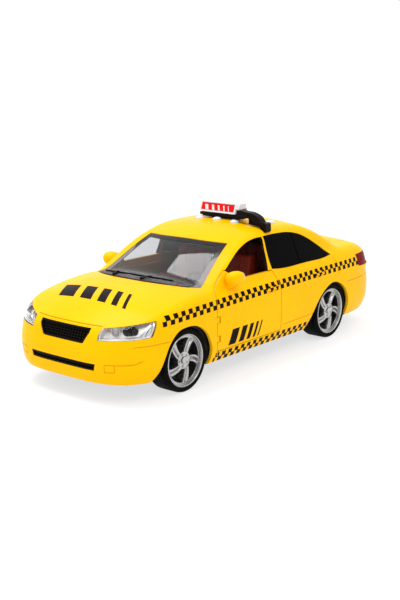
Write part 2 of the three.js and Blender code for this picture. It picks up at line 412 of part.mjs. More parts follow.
// Wheels
function rim() {
  let r = solid(lathe([[15.0, -14], [16.2, -14], [16.2, 0], [14.9, 0], [14.6, -3], [14.2, -12.6]].concat([[15.0, -14]]), 20));
  r = r.add(rod("y", 5.2, -13, -1.0, 0, 0, 12));
  for (let i = 0; i < 5; i++) {
    const a = (i * 2 * Math.PI) / 5 + 0.3;
    const g = new THREE.BoxGeometry(11.6, 2.6, 4.2).translate(9.3, -2.6, 0).rotateY(a);
    r = r.add(solid(g));
  }
  return r.subtract(rod("y", AXLE_R + 0.3, -20, -7, 0, 0, 10));
}
function tyre() {
  return solid(lathe([[TYRE_IN_R, -14.2], [18.2, -14.5], [TYRE_R, -12.6], [TYRE_R, -1.9], [18.2, 0], [TYRE_IN_R, -0.3], [TYRE_IN_R, -14.2]], 28));
}
const rimG = fromSolid(rim()), tyreG = fromSolid(tyre());
for (const [fr, x] of [["front", FRONT_X], ["rear", REAR_X]]) for (const [lr, s] of [["left", 1], ["right", -1]]) {
  const place = (g) => (s > 0 ? g.clone() : mirrored(g)).translate(x, s * WHEEL_OUT_Y, AXLE_Z);
  add(`${fr}_${lr}_rim`, place(rimG), 0xb4b6b8, 0.25, 1);
  add(`${fr}_${lr}_tyre`, place(tyreG), 0x141414, 0.7);
}

// Gears: involute-like teeth with a little backlash
function gearShape(teeth, m, phase) {
  const r = (teeth * m) / 2, ra = r + 0.8 * m, rf = r - 1.05 * m, pts = [];
  const half = Math.PI / teeth;
  for (let i = 0; i < teeth; i++) {
    const c = i * 2 * half + phase;
    for (const [rad, k] of [[rf, -0.66], [ra, -0.19], [ra, 0.19], [rf, 0.66]]) pts.push([rad * Math.cos(c + k * half), rad * Math.sin(c + k * half)]);
  }
  return pts;
}
const gear = (teeth, phase, y0, y1, cx, cz) => prism("y", gearShape(teeth, GEAR_MODULE, phase).map((p) => [p[0] + cx, p[1] + cz]), y0, y1);
const rad = Math.PI / 180;
const CX = REAR_X + COMPOUND_DIST * Math.cos(COMPOUND_ANGLE * rad), CZ = AXLE_Z + COMPOUND_DIST * Math.sin(COMPOUND_ANGLE * rad);
const FX = CX + FLYWHEEL_DIST * Math.cos(FLYWHEEL_ANGLE * rad), FZ = CZ + FLYWHEEL_DIST * Math.sin(FLYWHEEL_ANGLE * rad);
// a tooth of the driving gear points at its neighbour, whose gap points back
add("axle_gear", gear(AXLE_TEETH, COMPOUND_ANGLE * rad, -9, -5, REAR_X, AXLE_Z).add(rod("y", 3, -9, -3, REAR_X, AXLE_Z, 16)).subtract(rod("y", AXLE_R + 0.2, -12, 0, REAR_X, AXLE_Z, 16)), WHITE, 0.4);
const gapBack = (teeth, towards) => towards * rad + Math.PI + Math.PI / teeth;
let compound = gear(PINION_TEETH, gapBack(PINION_TEETH, COMPOUND_ANGLE), -9.4, -3.1, CX, CZ).add(gear(COMPOUND_TEETH, FLYWHEEL_ANGLE * rad, -4.2, -1.6, CX, CZ));
compound = compound.subtract(rod("y", 1.3, -12, 2, CX, CZ, 14));
add("compound_gear", compound, 0xd9c48a, 0.4);
add("compound_gear_pin", rod("y", 1.0, -12.3, 12.3, CX, CZ, 12), STEEL, 0.3, 1);
const flywheel = gear(PINION_TEETH, gapBack(PINION_TEETH, FLYWHEEL_ANGLE), -4.4, 0.2, FX, FZ).add(rod("y", 10, 0, 8, FX, FZ, 28)).add(rod("y", 1.0, -12.3, 12.3, FX, FZ, 12));
add("flywheel", flywheel, STEEL, 0.3, 1);
// Gearbox halves
function gearbox(s) {
  const y0 = s > 0 ? 0.1 : -12.7, y1 = s > 0 ? 12.7 : -0.1;
  let b = box(-93, -42, y0, y1, 8.4, 36.8);
  b = b.subtract(box(-91.4, -43.6, s > 0 ? -1 : -11.2, s > 0 ? 11.2 : 1, 9.6, 35.4));
  b = b.subtract(rod("y", AXLE_R + 0.3, -15, 15, REAR_X, AXLE_Z, 16)).subtract(rod("y", 1.3, -15, 15, CX, CZ, 12)).subtract(rod("y", 1.3, -15, 15, FX, FZ, 12));
  return b;
}
add("gearbox_left", gearbox(1), 0x3a3a3e, 0.5);
add("gearbox_right", gearbox(-1), 0x3a3a3e, 0.5);

// Cabin
let tray = prism("z", grow([[46, 44], [46, -44], [-44, -46], [-62, -44], [-62, 44], [-44, 46]], 0), SEATS_Z - 2, SEATS_Z);
add("cabin_tray", tray, 0x2b2520, 0.6);
const SEAT = [[-16, SEATS_Z + 0.3], [10, SEATS_Z + 0.3], [11, 45], [9, 47.5], [-7, 46.5], [-12.5, 60], [-14.5, 66.5], [-17.5, 66.5], [-18.8, 61], [-17.6, 47]];
for (const [n, s] of [["left", 1], ["right", -1]]) add(`${n}_front_seat`, prism("y", SEAT, s > 0 ? 7 : -31, s > 0 ? 31 : -7), 0xa8331c, 0.6);
add("rear_bench", prism("y", SEAT.map((p) => [p[0] - 39, p[1]]), -34, 34), 0xa8331c, 0.6);
let dash = prism("y", [[38, SEATS_Z + 0.3], [46, SEATS_Z + 0.3], [52.5, 50], [52.5, 55.2], [44, 56.4], [37, 54.6], [35, 50]], -38, 38).subtract(rod("x", 1.5, 30, 41, 18, 52.6, 12));
add("dashboard", dash, 0x1f1e1d, 0.6);
const wheelG = new THREE.TorusGeometry(7.2, 0.9, 5, 14).rotateY(Math.PI / 2);
let steer = solid(wheelG).add(box(-0.7, 0.7, -7.2, 7.2, -0.9, 0.9)).add(rod("x", 1.8, -0.8, 1.0, 0, 0, 12)).add(rod("x", 1.15, 0, 11, 0, 0, 12));
add("steering_wheel", fromSolid(steer).translate(29, 18, 52.6), 0x1a1a1a, 0.5);

export default car;
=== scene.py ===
import math

import bmesh
import bpy
import numpy as np
from mathutils import Matrix, Vector


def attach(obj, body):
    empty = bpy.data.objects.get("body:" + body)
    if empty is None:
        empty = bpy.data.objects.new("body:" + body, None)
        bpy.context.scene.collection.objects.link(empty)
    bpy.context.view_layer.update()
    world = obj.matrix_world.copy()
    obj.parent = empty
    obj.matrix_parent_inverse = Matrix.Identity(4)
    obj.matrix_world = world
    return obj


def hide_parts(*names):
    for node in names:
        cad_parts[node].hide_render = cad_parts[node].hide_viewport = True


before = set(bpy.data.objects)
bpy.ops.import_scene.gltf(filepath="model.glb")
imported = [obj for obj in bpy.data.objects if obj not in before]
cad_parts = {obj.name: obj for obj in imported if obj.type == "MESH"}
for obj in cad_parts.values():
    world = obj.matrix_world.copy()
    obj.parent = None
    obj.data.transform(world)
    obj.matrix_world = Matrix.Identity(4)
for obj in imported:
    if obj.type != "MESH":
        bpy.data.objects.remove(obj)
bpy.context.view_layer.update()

SCENE = bpy.context.scene
SHIFT_X = 10.6  # the outlines below are in mm from the middle of the wheelbase

# ------------------------------------------------------------------ camera
cam_data = bpy.data.cameras.new("camera")
cam_data.lens = 60.96
cam_data.sensor_width = 36.0
cam_data.clip_start = 0.01
cam_data.clip_end = 50.0
camera = bpy.data.objects.new("camera", cam_data)
SCENE.collection.objects.link(camera)
camera.location = (0.53404, 0.42379, 0.19196)
camera.rotation_mode = "QUATERNION"
camera.rotation_quaternion = (Vector((0.0106, -0.0016, 0.03376)) - camera.location).to_track_quat("-Z", "Y")
SCENE.camera = camera
SCENE.view_settings.view_transform = "Standard"
SCENE.view_settings.look = "None"

# ------------------------------------------------------------- body surface
def table(rows):
    t = np.array(rows, float)
    xs, ys = t[:, 0], t[:, 1]
    h = np.diff(xs)
    d = np.diff(ys) / h
    m = np.empty(len(xs))
    m[0], m[-1] = d[0], d[-1]
    m[1:-1] = (d[:-1] * h[1:] + d[1:] * h[:-1]) / (xs[2:] - xs[:-2])

    def at(v):
        v = np.clip(v, xs[0], xs[-1])
        i = np.clip(np.searchsorted(xs, v, side="right") - 1, 0, len(xs) - 2)
        w = xs[i + 1] - xs[i]
        s = (v - xs[i]) / w
        return (2 * s**3 - 3 * s**2 + 1) * ys[i] + (s**3 - 2 * s**2 + s) * w * m[i] + (-2 * s**3 + 3 * s**2) * ys[i + 1] + (s**3 - s**2) * w * m[i + 1]

    return at


front_at = table([(4, 123.6), (10, 128.3), (14, 130.2), (20, 130.9), (28, 130.9), (36, 129.4), (44, 127.8), (50, 126), (60, 120)])
rear_at = table([(4, 139.7), (10, 146.2), (16, 150.3), (26, 152.2), (35, 151.6), (41, 150.3), (50, 149.3), (57, 147.8), (66, 143.2)])
half_at = table([(4, 48.4), (10, 50.4), (14, 52.4), (19, 54), (30, 54.8), (42, 54.3), (49, 53.7), (54, 52.2), (60, 50)])
deck_at = table([(-170, 52), (-148, 57.6), (-138, 60.8), (-125, 64.2), (-105, 65.2), (-60, 65), (-20, 62), (40, 59.5), (60, 61.2), (75, 60), (90, 57.8), (102, 55.4), (113, 51.2), (122, 46.8), (130, 43), (138, 35)])
crown_at = table([(-150, 4), (-100, 4.3), (0, 5.8), (60, 5), (95, 5.2), (135, 7.9)])
roof_at = table([(-125, 52.4), (-105, 63.7), (-90, 73.3), (-75, 81), (-58, 85.4), (-40, 87.2), (-20, 87.6), (-5, 86.7), (10, 84), (22, 81.2), (35, 77.2)])


def smax(a, b, k):
    h = np.maximum(k - np.abs(a - b), 0) / k
    return np.maximum(a, b) + h * h * k * 0.25


def smin(a, b, k):
    return -smax(-a, -b, k)


def body_field(x, y, z):
    """Negative inside the body, close to a distance in mm."""
    ay = np.abs(y)
    w, f, r = half_at(z), front_at(z), rear_at(z)
    u = np.where(x > 76, (x - 76) / (f - 76), np.where(x < -70, (-70 - x) / (r - 70), 0))
    p = np.where(x > 0, 3.6, 4.5)
    side = ((np.maximum(u, 0) ** p + (ay / w) ** p) ** (1 / p) - 1) * w
    deck = (z - (deck_at(x) - crown_at(x) * (ay / 50) ** 2.2)) / np.sqrt(1.12)
    lower = smax(side, deck, 5.0)
    screen = (x - (60.6 - 1.735 * (z - 56.5) - 7.6 * (ay / 41.6) ** 2)) / 2.0
    back = (-116 + 2.05 * (z - 61) + 5.8 * (ay / 41) ** 2 - x) / 2.28
    pane = (ay - (49.3 - 0.00025 * (x + 12) ** 2 - 0.32 * (z - 58))) * 0.95
    top = z - (roof_at(x) - 3.0 * (ay / 38) ** 2)
    g = smax(screen, back, 4.0)
    g = smax(g, pane, 3.0)
    g = smax(g, top, 6.5)
    g = np.maximum(g, 45 - z)
    return smin(lower, g, 2.5)


def gradient(p):
    x, y, z = p[:, 0], p[:, 1], p[:, 2]
    e = 0.25
    g = np.stack([body_field(x + e, y, z) - body_field(x - e, y, z), body_field(x, y + e, z) - body_field(x, y - e, z), body_field(x, y, z + e) - body_field(x, y, z - e)], 1)
    return g / np.maximum(np.linalg.norm(g, axis=1, keepdims=True), 1e-9)


# ------------------------------------------------------------------ helpers
def raw(name, verts, faces):
    """A mesh object with its points in mm."""
    me = bpy.data.meshes.new(name)
    me.from_pydata([tuple(map(float, v)) for v in verts], [], [tuple(int(i) for i in f) for f in faces])
    me.validate()
    o = bpy.data.objects.new(name, me)
    SCENE.collection.objects.link(o)
    return o


def drop(*objs):
    for o in objs:
        me = o.data
        bpy.data.objects.remove(o)
        if me.users == 0:
            bpy.data.meshes.remove(me)


def boolean(a, b, op, keep_b=False):
    m = a.modifiers.new("b", "BOOLEAN")
    m.operation, m.object, m.solver = op, b, "MANIFOLD"
    dg = bpy.context.evaluated_depsgraph_get()
    me = bpy.data.meshes.new_from_object(a.evaluated_get(dg))
    a.modifiers.clear()
    old, a.data = a.data, me
    if old.users == 0:
        bpy.data.meshes.remove(old)
    if not keep_b:
        drop(b)
    return a


cut = lambda a, b, keep=False: boolean(a, b, "DIFFERENCE", keep)
join = lambda a, b, keep=False: boolean(a, b, "UNION", keep)
meet = lambda a, b, keep=False: boolean(a, b, "INTERSECT", keep)


def copy(o):
    c = bpy.data.objects.new(o.name + "_c", o.data.copy())
    SCENE.collection.objects.link(c)
    return c


def mirror(o, name):
    me = o.data.copy()
    me.name = name
    me.transform(Matrix.Scale(-1, 4, Vector((0, 1, 0))))
    me.flip_normals()
    c = bpy.data.objects.new(name, me)
    SCENE.collection.objects.link(c)
    return c


def box(x0, x1, y0, y1, z0, z1):
    v = [(x, y, z) for x in (x0, x1) for y in (y0, y1) for z in (z0, z1)]
    return raw("box", v, [(0, 1, 3, 2), (4, 6, 7, 5), (0, 4, 5, 1), (2, 3, 7, 6), (0, 2, 6, 4), (1, 5, 7, 3)])


def prism(axis, points, a, b):
    """An outline extruded along an axis. "y": points are (x, z); "x": (y, z); "z": (x, y)."""
    n = len(points)
    put = {"y": lambda p, t: (p[0], t, p[1]), "x": lambda p, t: (t, p[0], p[1]), "z": lambda p, t: (p[0], p[1], t)}[axis]
    v = [put(p, a) for p in points] + [put(p, b) for p in points]
    f = [tuple(range(n)), tuple(range(2 * n - 1, n - 1, -1))] + [(i, n + i, n + (i + 1) % n, (i + 1) % n) for i in range(n)]
    area = sum(points[i][0] * points[(i + 1) % n][1] - points[(i + 1) % n][0] * points[i][1] for i in range(n))
    if (area > 0) == (axis == "y"):
        f = [t[::-1] for t in f]
    o = raw("prism", v, f)
    bm = bmesh.new()
    bm.from_mesh(o.data)
    bmesh.ops.recalc_face_normals(bm, faces=bm.faces)
    bmesh.ops.triangulate(bm, faces=[t for t in bm.faces if len(t.verts) > 4])
    bm.to_mesh(o.data)
    bm.free()
    return o


def rod(axis, r, a, b, p, q, n=48, r2=None):
    r2 = r if r2 is None else r2
    ring = [(math.cos(t * 2 * math.pi / n), math.sin(t * 2 * math.pi / n)) for t in range(n)]
    put = {"y": lambda c, s, t: (p + c, t, q + s), "x": lambda c, s, t: (t, p + c, q + s), "z": lambda c, s, t: (p + c, q + s, t)}[axis]
    v = [put(c * r, s * r, a) for c, s in ring] + [put(c * r2, s * r2, b) for c, s in ring]
    f = [tuple(range(n)), tuple(range(2 * n - 1, n - 1, -1))] + [(i, n + i, n + (i + 1) % n, (i + 1) % n) for i in range(n)]
    o = raw("rod", v, f)
    bm = bmesh.new()
    bm.from_mesh(o.data)
    bmesh.ops.recalc_face_normals(bm, faces=bm.faces)
    bm.to_mesh(o.data)
    bm.free()
    return o


def spline(points, sharp=(), n=5, closed=True):
    """A smooth outline through the points, with corners kept at the sharp ones."""
    p = np.array(points, float)
    m = len(p)
    out = []
    for i in range(m if closed else m - 1):
        a, b = p[i], p[(i + 1) % m]
        l = np.linalg.norm(b - a)

        def tangent(j):
            if j % m in sharp or (not closed and j % m in (0, m - 1)):
                return (b - a) / max(l, 1e-9)
            q0, q1, q2 = p[(j - 1) % m], p[j % m], p[(j + 1) % m]
            l0, l1 = np.linalg.norm(q1 - q0), np.linalg.norm(q2 - q1)
            t = (q1 - q0) / max(l0, 1e-9) / max(l0, 1e-9) + (q2 - q1) / max(l1, 1e-9) / max(l1, 1e-9)
            return t / max(np.linalg.norm(t), 1e-9)

        ta, tb = tangent(i) * l, tangent(i + 1) * l
        for k in range(n):
            s = k / n
            out.append(tuple((2 * s**3 - 3 * s**2 + 1) * a + (s**3 - 2 * s**2 + s) * ta + (-2 * s**3 + 3 * s**2) * b + (s**3 - s**2) * tb))
    if not closed:
        out.append(tuple(p[-1]))
    return out


def grow(points, d):
    p = np.array(points, float)
    n = len(p)
    area = sum(p[i][0] * p[(i + 1) % n][1] - p[(i + 1) % n][0] * p[i][1] for i in range(n))
    s = 1 if area > 0 else -1
    out = []
    for i in range(n):
        u, v = p[i] - p[i - 1], p[(i + 1) % n] - p[i]
        u, v = u / max(np.linalg.norm(u), 1e-9), v / max(np.linalg.norm(v), 1e-9)
        nu, nv = np.array([u[1], -u[0]]), np.array([v[1], -v[0]])
        b = nu + nv
        b /= max(np.linalg.norm(b), 1e-9)
        k = min(1 / max(float(b @ nu), 0.3), 2.2)
        out.append(tuple(p[i] + s * d * k * b))
    return out


def strip(points, w):
    """A narrow band of width w round an open path."""
    p = np.array(points, float)
    left, right = [], []
    for i in range(len(p)):
        a, b = p[max(i - 1, 0)], p[min(i + 1, len(p) - 1)]
        t = (b - a) / max(np.linalg.norm(b - a), 1e-9)
        nrm = np.array([-t[1], t[0]])
        left.append(tuple(p[i] + nrm * w / 2))
        right.append(tuple(p[i] - nrm * w / 2))
    return left + right[::-1]


_hulls = {}


def hull(inset, bottom, nu=150, nlow=24, nup=72):
    """The whole body as one closed form, its surface moved inwards by inset."""
    key = (round(inset, 3), bottom, nu, nlow, nup)
    if key not in _hulls:
        zc, xf, xb, la = 34.0, 62.0, -66.0, 0.36
        rows = nlow + nup + 1
        u = np.linspace(0, 1, nu + 1)[:, None] * np.ones((1, rows))
        phi = np.where(u < la, u / la * math.pi / 2, np.where(u > 1 - la, math.pi / 2 + (u - 1 + la) / la * math.pi / 2, math.pi / 2))
        sx = np.where(u < la, xf, np.where(u > 1 - la, xb, xf + (xb - xf) * (u - la) / (1 - 2 * la)))
        j = np.arange(rows)[None, :] * np.ones((nu + 1, 1))
        low = j < nlow
        el = np.where(low, 0, (j - nlow) / nup * math.pi / 2)
        z0 = np.where(low, bottom + (zc - bottom) * j / nlow, zc)
        d = np.stack([np.cos(phi) * np.cos(el), np.sin(phi) * np.cos(el), np.sin(el)], -1)
        o = np.stack([sx, 0 * sx, z0], -1)
        lo, hi = np.zeros_like(u), np.full_like(u, 130.0)
        for _ in range(30):
            mid = (lo + hi) / 2
            q = o + d * mid[..., None]
            inside = body_field(q[..., 0], q[..., 1], q[..., 2]) + inset < 0
            lo, hi = np.where(inside, mid, lo), np.where(inside, hi, mid)
        q = o + d * lo[..., None]
        q[..., 1] = np.where(np.abs(q[..., 1]) < 1e-6, 0, q[..., 1])
        a = q.reshape(-1, 3)
        b = a * np.array([1, -1, 1])
        v = np.concatenate([a, b])
        f = []
        n = (nu + 1) * rows
        for i in range(nu):
            for k in range(rows - 1):
                p, s, t, w = i * rows + k, (i + 1) * rows + k, (i + 1) * rows + k + 1, i * rows + k + 1
                f.append((p, s, t, w))
                f.append((n + p, n + w, n + t, n + s))
            f.append((i * rows, n + i * rows, n + (i + 1) * rows, (i + 1) * rows))
        o = raw("hull", v, f)
        bm = bmesh.new()
        bm.from_mesh(o.data)
        bmesh.ops.remove_doubles(bm, verts=bm.verts, dist=1e-3)
        bmesh.ops.dissolve_degenerate(bm, dist=1e-4, edges=bm.edges)
        bmesh.ops.recalc_face_normals(bm, faces=bm.faces)
        bm.to_mesh(o.data)
        bm.free()
        o.hide_render = True
        _hulls[key] = o
    return copy(_hulls[key])


def band(outer_inset, inner_inset):
    """The skin between two insets, as a closed shell open at the bottom."""
    return cut(hull(outer_inset, 12.0), hull(inner_inset, 9.0))


def done(o, name, mats, body, replaces=(), slot=None, angle=35, smooth=True, insets=None, pick=None):
    """Turns a mm mesh into a finished piece in metres that rides on a body."""
    o.name = name
    me = o.data
    me.name = name
    bm = bmesh.new()
    bm.from_mesh(me)
    bmesh.ops.remove_doubles(bm, verts=bm.verts, dist=2e-4)
    bmesh.ops.dissolve_degenerate(bm, dist=2e-4, edges=bm.edges)
    loose = [v for v in bm.verts if not v.link_faces]
    if loose:
        bmesh.ops.delete(bm, geom=loose, context="VERTS")
    bm.to_mesh(me)
    bm.free()
    nf = len(me.polygons)
    me.materials.clear()
    for m in mats:
        me.materials.append(m)
    centres = np.zeros(nf * 3)
    me.polygons.foreach_get("center", centres)
    centres = centres.reshape(-1, 3)
    normals = np.zeros(nf * 3)
    me.polygons.foreach_get("normal", normals)
    normals = normals.reshape(-1, 3)
    if pick is not None:
        me.polygons.foreach_set("material_index", np.asarray(pick(centres, normals), np.int32))
    if smooth:
        me.polygons.foreach_set("use_smooth", np.ones(nf, bool))
        me.set_sharp_from_angle(angle=math.radians(angle))
    if insets is not None:
        # shade the skin with the surface's own normals, and every cut wall flat
        nv, nl = len(me.vertices), len(me.loops)
        co = np.zeros(nv * 3)
        me.vertices.foreach_get("co", co)
        co = co.reshape(-1, 3)
        field = body_field(co[:, 0], co[:, 1], co[:, 2])
        grad = gradient(co)
        loop_v = np.zeros(nl, np.int32)
        me.loops.foreach_get("vertex_index", loop_v)
        start, total = np.zeros(nf, np.int32), np.zeros(nf, np.int32)
        me.polygons.foreach_get("loop_start", start)
        me.polygons.foreach_get("loop_total", total)
        loop_f = np.repeat(np.arange(nf), total)
        res = normals[loop_f].copy()
        for inset, sign in insets:
            near = np.abs(field + inset) < 0.06
            facing = np.einsum("ij,ij->i", normals[loop_f], grad[loop_v]) * sign > 0.8
            all_near = np.minimum.reduceat(near[loop_v].astype(int), start)[loop_f] > 0
            use = all_near & facing
            res[use] = grad[loop_v][use] * sign
        me.normals_split_custom_set([tuple(v) for v in res])
    m = Matrix.Translation(Vector((SHIFT_X * 0.001, 0, 0))) @ Matrix.Scale(0.001, 4)
    me.transform(m)
    me.update()
    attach(o, body)
    if replaces:
        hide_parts(*replaces)
    return o


# ---------------------------------------------------------------- materials
class Nodes:
    def __init__(self, name):
        self.mat = bpy.data.materials.new(name)
        self.mat.use_nodes = True
        self.t = self.mat.node_tree
        self.bsdf = self.t.nodes["Principled BSDF"]
        self.co = self.t.nodes.new("ShaderNodeTexCoord").outputs["Object"]

    def new(self, kind, **props):
        n = self.t.nodes.new(kind)
        for k, v in props.items():
            setattr(n, k, v)
        return n

    def put(self, value, socket):
        if isinstance(value, bpy.types.NodeSocket):
            self.t.links.new(value, socket)
        else:
            socket.default_value = value

    def math(self, op, a, b=None, c=None, clamp=False):
        n = self.new("ShaderNodeMath", operation=op, use_clamp=clamp)
        for i, v in enumerate((a, b, c)):
            if v is not None:
                self.put(v, n.inputs[i])
        return n.outputs[0]

    def noise(self, scale, detail=3.0, rough=0.5, stretch=None):
        n = self.new("ShaderNodeTexNoise")
        n.inputs["Scale"].default_value = scale
        n.inputs["Detail"].default_value = detail
        n.inputs["Roughness"].default_value = rough
        if stretch:
            m = self.new("ShaderNodeMapping")
            m.inputs["Scale"].default_value = stretch
            self.t.links.new(self.co, m.inputs["Vector"])
            self.t.links.new(m.outputs["Vector"], n.inputs["Vector"])
        else:
            self.t.links.new(self.co, n.inputs["Vector"])
        return n.outputs["Fac"]

    def mix(self, fac, a, b):
        n = self.new("ShaderNodeMix", data_type="RGBA")
        self.put(fac, n.inputs["Factor"])
        self.put(a, n.inputs["A"])
        self.put(b, n.inputs["B"])
        return n.outputs["Result"]

    def ramp(self, fac, lo, hi, a, b):
        n = self.new("ShaderNodeMapRange")
        self.put(fac, n.inputs["Value"])
        for k, v in (("From Min", lo), ("From Max", hi), ("To Min", a), ("To Max", b)):
            n.inputs[k].default_value = v
        return n.outputs["Result"]

    def xyz(self):
        n = self.new("ShaderNodeSeparateXYZ")
        self.t.links.new(self.co, n.inputs[0])
        x = self.math("SUBTRACT", self.math("MULTIPLY", n.outputs["X"], 1000.0), SHIFT_X)
        return x, self.math("MULTIPLY", n.outputs["Y"], 1000.0), self.math("MULTIPLY", n.outputs["Z"], 1000.0)

    def between(self, v, lo, hi):
        return self.math("MULTIPLY", self.math("GREATER_THAN", v, lo), self.math("LESS_THAN", v, hi))

    def bump(self, height, strength, distance):
        n = self.new("ShaderNodeBump")
        n.inputs["Strength"].default_value = strength
        n.inputs["Distance"].default_value = distance
        self.put(height, n.inputs["Height"])
        self.t.links.new(n.outputs["Normal"], self.bsdf.inputs["Normal"])

    def set(self, **kw):
        names = {"color": "Base Color", "rough": "Roughness", "metal": "Metallic", "coat": "Coat Weight", "coat_rough": "Coat Roughness", "ior": "IOR", "transmission": "Transmission Weight", "spec": "Specular IOR Level", "sss": "Subsurface Weight", "sheen": "Sheen Weight", "emission": "Emission Color", "emit": "Emission Strength", "alpha": "Alpha"}
        for k, v in kw.items():
            self.put(v, self.bsdf.inputs[names[k]])
        return self.mat


def srgb(r, g, b, a=1.0):
    lin = lambda c: (c / 255 / 12.92) if c / 255 <= 0.04045 else ((c / 255 + 0.055) / 1.055) ** 2.4
    return (lin(r), lin(g), lin(b), a)


def plastic(name, colour, rough=0.35, coat=0.0, vary=0.08, grain=0.15, grain_scale=900.0, spec=0.5):
    """Moulded plastic: a slow colour drift, uneven gloss and a fine moulded grain."""
    n = Nodes(name)
    dark = tuple(c * (1 - vary) for c in colour[:3]) + (1.0,)
    n.put(n.mix(n.ramp(n.noise(26.0, 4.0), 0.35, 0.65, 0.0, 1.0), dark, colour), n.bsdf.inputs["Base Color"])
    n.put(n.ramp(n.noise(140.0, 3.0), 0.3, 0.7, rough * 0.85, rough * 1.2), n.bsdf.inputs["Roughness"])
    n.bump(n.noise(grain_scale, 2.0), grain, 0.00008)
    n.set(coat=coat, coat_rough=0.06, spec=spec)
    return n.mat


def body_paint():
    """Glossy yellow moulding with the black printed chequers and plain slanted bars."""
    n = Nodes("body_yellow_printed")
    x, y, z = n.xyz()
    ay = n.math("ABSOLUTE", y)
    flank = n.math("GREATER_THAN", ay, 40.0)
    # belt chequers: two offset rows that follow the waist
    mid = n.math("SUBTRACT", n.math("SUBTRACT", 49.35, n.math("MULTIPLY", x, 0.016684)), n.math("MULTIPLY", n.math("MULTIPLY", x, x), 7.316e-5))
    v = n.math("SUBTRACT", z, mid)

    def chequer(v, row_h, period, x0, x1, duty, offset):
        upper = n.math("GREATER_THAN", v, 0.0)
        u = n.math("ADD", n.math("DIVIDE", x, period), n.math("MULTIPLY", upper, offset))
        black = n.math("LESS_THAN", n.math("SUBTRACT", u, n.math("FLOOR", u)), duty)
        return n.math("MULTIPLY", n.math("MULTIPLY", black, n.between(v, -row_h, row_h)), n.math("MULTIPLY", n.between(x, x0, x1), flank))

    belt = chequer(v, 2.95, 6.5, -118.0, 100.7, 0.56, 0.5)
    sill = chequer(n.math("SUBTRACT", z, 15.0), 2.9, 6.5, -48.5, 54.0, 0.58, 0.5)
    # slanted bars of falling width on the doors and on the bonnet
    marks = n.math("MAXIMUM", belt, sill)
    door_on = n.math("MULTIPLY", n.between(z, 20.4, 30.2), flank)
    sx = n.math("ADD", x, n.math("MULTIPLY", n.math("SUBTRACT", z, 25.0), 0.42))
    for at, w in ((35.5, 7.4), (26.0, 5.4), (18.6, 3.9), (12.6, 2.6), (8.0, 1.5)):
        marks = n.math("MAXIMUM", marks, n.math("MULTIPLY", n.between(sx, at - w / 2, at + w / 2), door_on))
    bonnet_on = n.math("MULTIPLY", n.between(x, 91.0, 106.5), n.math("GREATER_THAN", z, 46.0))
    sy = n.math("ADD", y, n.math("MULTIPLY", n.math("SUBTRACT", x, 99.0), -0.55))
    for at, w in ((-24.5, 13.0), (-8.0, 9.4), (5.2, 6.8), (15.6, 4.6), (23.6, 2.6)):
        marks = n.math("MAXIMUM", marks, n.math("MULTIPLY", n.between(sy, at - w / 2, at + w / 2), bonnet_on))
    base = n.mix(n.ramp(n.noise(18.0, 4.0), 0.35, 0.65, 0.0, 1.0), srgb(247, 181, 0), srgb(251, 188, 1))
    ink = n.mix(n.ramp(n.noise(900.0, 3.0), 0.3, 0.7, 0.0, 1.0), srgb(12, 6, 3), srgb(22, 13, 8))
    n.put(n.mix(marks, base, ink), n.bsdf.inputs["Base Color"])
    n.put(n.math("ADD", n.ramp(n.noise(120.0, 3.0), 0.3, 0.7, 0.2, 0.3), n.math("MULTIPLY", marks, 0.1)), n.bsdf.inputs["Roughness"])
    n.bump(n.math("ADD", n.math("MULTIPLY", n.noise(60.0, 2.0), 1.0), n.math("MULTIPLY", marks, 0.5)), 0.12, 0.0002)
    n.set(coat=0.01, coat_rough=0.06, spec=0.035)
    return n.mat


def glass(name, tint, rough=0.02, ior=1.3):
    n = Nodes(name)
    n.put(n.mix(n.ramp(n.noise(40.0, 3.0), 0.4, 0.6, 0.0, 1.0), tint, tuple(min(1, c * 1.04) for c in tint[:3]) + (1.0,)), n.bsdf.inputs["Base Color"])
    n.put(n.ramp(n.noise(300.0, 3.0), 0.3, 0.7, rough * 0.6, rough * 1.6), n.bsdf.inputs["Roughness"])
    n.bump(n.noise(35.0, 2.0), 0.05, 0.0001)
    n.set(transmission=1.0, ior=ior)
    return n.mat


def metal(name, colour, rough=0.25, scratch=0.1, stretch=(1, 1, 1)):
    n = Nodes(name)
    n.put(n.mix(n.ramp(n.noise(60.0, 4.0), 0.35, 0.65, 0.0, 1.0), tuple(c * 0.86 for c in colour[:3]) + (1.0,), colour), n.bsdf.inputs["Base Color"])
    n.put(n.ramp(n.noise(500.0, 4.0, 0.6, stretch), 0.25, 0.75, rough * 0.7, rough * 1.4), n.bsdf.inputs["Roughness"])
    n.bump(n.noise(1200.0, 3.0, 0.6, stretch), scratch, 0.00005)
    n.set(metal=1.0)
    return n.mat


def rubber(name):
    n = Nodes(name)
    n.put(n.mix(n.ramp(n.noise(300.0, 5.0, 0.65), 0.35, 0.65, 0.0, 1.0), srgb(5, 5, 5), srgb(15, 15, 14)), n.bsdf.inputs["Base Color"])
    n.put(n.ramp(n.noise(220.0, 4.0), 0.3, 0.7, 0.48, 0.68), n.bsdf.inputs["Roughness"])
    n.bump(n.noise(2500.0, 3.0), 0.25, 0.00006)
    n.set(spec=0.04)
    return n.mat


